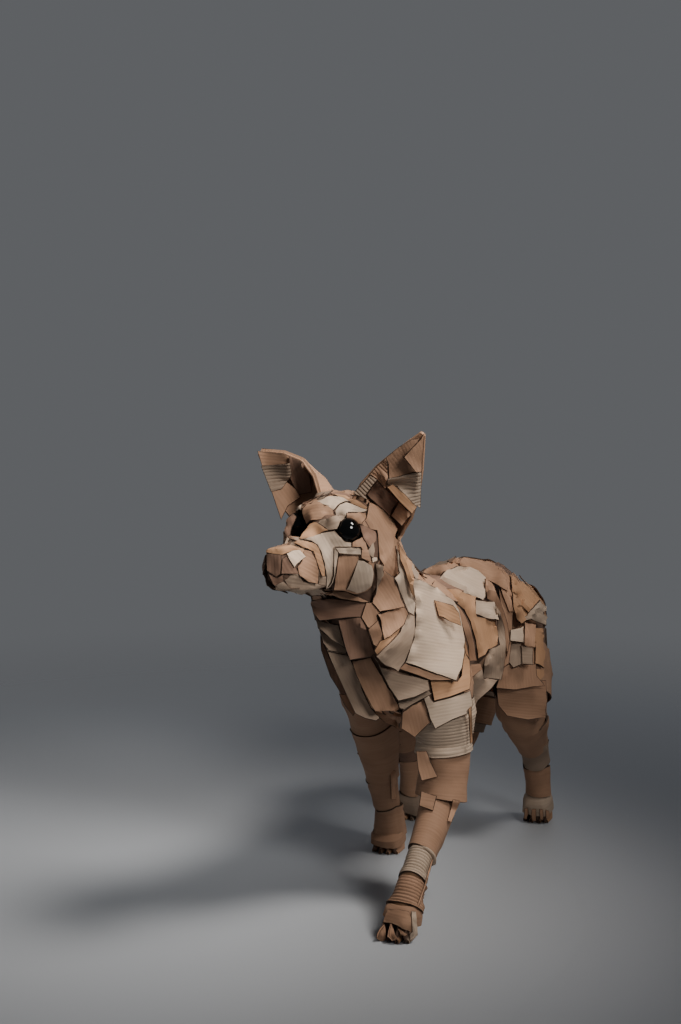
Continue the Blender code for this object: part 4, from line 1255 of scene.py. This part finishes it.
for limb, top, bottom, kind, tone in tubes:
    atPaw = bottom < 20
    layWrap("legBoards", limb, shareAt(limb, 2, top), shareAt(limb, 2, bottom), kind, tone * limbShadeTone,
            turn=chance.uniform(1, 4), thick=1.2, tilts=(1, 2), ease=20 if atPaw else 5,
            hover=60 if atPaw else 1.5, widest=2.1, gap=0.9, around=64)
for name, (limb, top, bottom, kind, tone, more) in bands.items():
    layWrap(name, limb, shareAt(limb, 2, top), shareAt(limb, 2, bottom), kind, tone * limbShadeTone, **more)
for piece, kind, tone, grain, outline in traced:
    if piece not in ("legBoards", "neckBoards") and (piece in twoSided or onOneSide(outline, 1)):
        name = piece + "Right" if piece in twoSided else "trunkBoards"
        tone *= chance.uniform(0.94, 1.02)
        sightBoard(name, outline, kind, tone, grain, 1, drape=drapes["hidden"], close=True)
for piece, kind, tone, grain, outline in traced:
    onBack = min(outline)[0] > places["shoulder"] and max(y for _, y in outline) < places["flank"]
    onHaunch = min(outline)[0] > places["haunch"]
    drape = drapes["haunch"] if onHaunch else drapes["back"] if onBack else 0
    sightBoard(piece, outline, kind, tone, grain, drape=drape, close=onHaunch)
for piece, kind, tone, grain, outline in traceHead:
    if min(outline)[0] > places["nose"] and onOneSide(outline, 2):
        name = piece if piece in ("muzzleLightBand", "muzzleFrontBand") else "headBoards"
        tone *= chance.uniform(0.94, 1.02)
        sightBoard(name, outline, kind, tone, grain, 2, drape=drapes["headHidden"], close=True, **headSheets)
for piece, kind, tone, grain, outline in traceHead:
    sightBoard(piece, outline, kind, tone, grain, drape=drapes["head"], close=True, **headSheets)
for piece, kind, tone, grain, outline in tracePaws:
    sightBoard(piece, outline, kind, tone, grain, **pawSheets)
for piece, kind, tone, grain, outline, ribs in traceEars:
    sightBoard(piece, outline, kind, tone, grain, ribs=ribs, **earSheets)
print("traced boards laid")


# Finished pieces

def camel(node):
    first, *rest = node.split("_")
    return first + "".join(word.capitalize() for word in rest)


eyeGlass, _, eyeShader = newMaterial("blackGlass", "#050505", 0.03)
eyeShader.inputs["Specular IOR Level"].default_value = 0.4
nodeOf = {camel(node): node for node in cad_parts}
nodeOf["bodyForm"] = "body"
waiting = set(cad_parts)
for name, mesh in regions.items():
    toMetres(mesh)
    data = bpy.data.meshes.new(name)
    mesh.to_mesh(data)
    mesh.free()
    piece = bpy.data.objects.new(name, data)
    bpy.context.scene.collection.objects.link(piece)
    for material in [eyeGlass] if name in eyeSpots else boardMaterials:
        data.materials.append(material)
    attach(piece, "root")
    if name in nodeOf:
        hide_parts(nodeOf[name])
        waiting.discard(nodeOf[name])
    print(name, sum(len(f.vertices) - 2 for f in data.polygons))
print("still shown from the frame:", sorted(waiting))


# Camera, floor and light

def aim(thing, ahead, above):
    right = ahead.cross(above).normalized()
    thing.matrix_world = (Matrix.Translation(thing.location)
                          @ Matrix((right, right.cross(ahead), -ahead)).transposed().to_4x4())


start, ahead = sight(*view["middle"])
camera = bpy.data.objects.new("camera", bpy.data.cameras.new("camera"))
camera.location = (start + stand) / perMetre
camera.data.lens = round(camera.data.sensor_width * view["lens"] / (2 * view["middle"][1]), 2)
bpy.context.scene.collection.objects.link(camera)
aim(camera, ahead, Vector((0, 0, 1)))
bpy.context.scene.camera = camera

floorMesh = bpy.data.meshes.new("floor")
shape = bmesh.new()
bmesh.ops.create_grid(shape, x_segments=1, y_segments=1, size=40)
shape.to_mesh(floorMesh)
floor = bpy.data.objects.new("floor", floorMesh)
bpy.context.scene.collection.objects.link(floor)
floorMaterial, floorTree, floorShader = newMaterial("paleFloor", "#B7BABE", 0.7)
floorMesh.materials.append(floorMaterial)
# The floor thins out with distance, so that it ends in the backdrop with no line.
away = addNode(floorTree, "ShaderNodeVectorMath", {"operation": "LENGTH"},
               {0: addNode(floorTree, "ShaderNodeTexCoord").outputs["Object"]}).outputs["Value"]
fade = addNode(floorTree, "ShaderNodeMapRange",
               {"interpolation_type": "SMOOTHSTEP", "From Min": 0.45, "From Max": 1.7, "To Min": 1,
                "To Max": 0}, {"Value": away})
floorTree.links.new(fade.outputs["Result"], floorShader.inputs["Alpha"])

# Each light: place, power, width, spread in degrees, colour
lights = {
    "key": ((0.7, -0.12, 1.45), 1.15, 0.45, 40, "#FFFAF4"),
    "front": ((0.85, -0.75, 0.95), 0.62, 0.4, 38, "#FFFDFA"),
    "back": ((-0.3, 1.5, 1.5), 3, 1.0, 180, "#F2F5FF"),
}
lit = Vector((0, -0.18, 0.42))
for name, (place, power, size, spread, colour) in lights.items():
    lamp = bpy.data.lights.new(name, "AREA")
    lamp.shape = "DISK"
    lamp.energy, lamp.size, lamp.color = power, size, hexColour(colour)[:3]
    lamp.spread = math.radians(spread)
    light = bpy.data.objects.new(name, lamp)
    light.location = place
    bpy.context.scene.collection.objects.link(light)
    aim(light, (lit - light.location).normalized(), Vector((0, 0, 1)))
# The backdrop is as light as the floor in front of it, and gives less light than it shows.
world = bpy.data.worlds.new("studio")
world.use_nodes = True
walls = world.node_tree
backdrop = walls.nodes["Background"]
backdrop.inputs["Color"].default_value = hexColour("#B9BCC1")
seen = addNode(walls, "ShaderNodeLightPath").outputs["Is Camera Ray"]
strength = addNode(walls, "ShaderNodeMapRange", {"To Min": 0.16, "To Max": 0.24}, {"Value": seen})
walls.links.new(strength.outputs["Result"], backdrop.inputs["Strength"])
bpy.context.scene.world = world
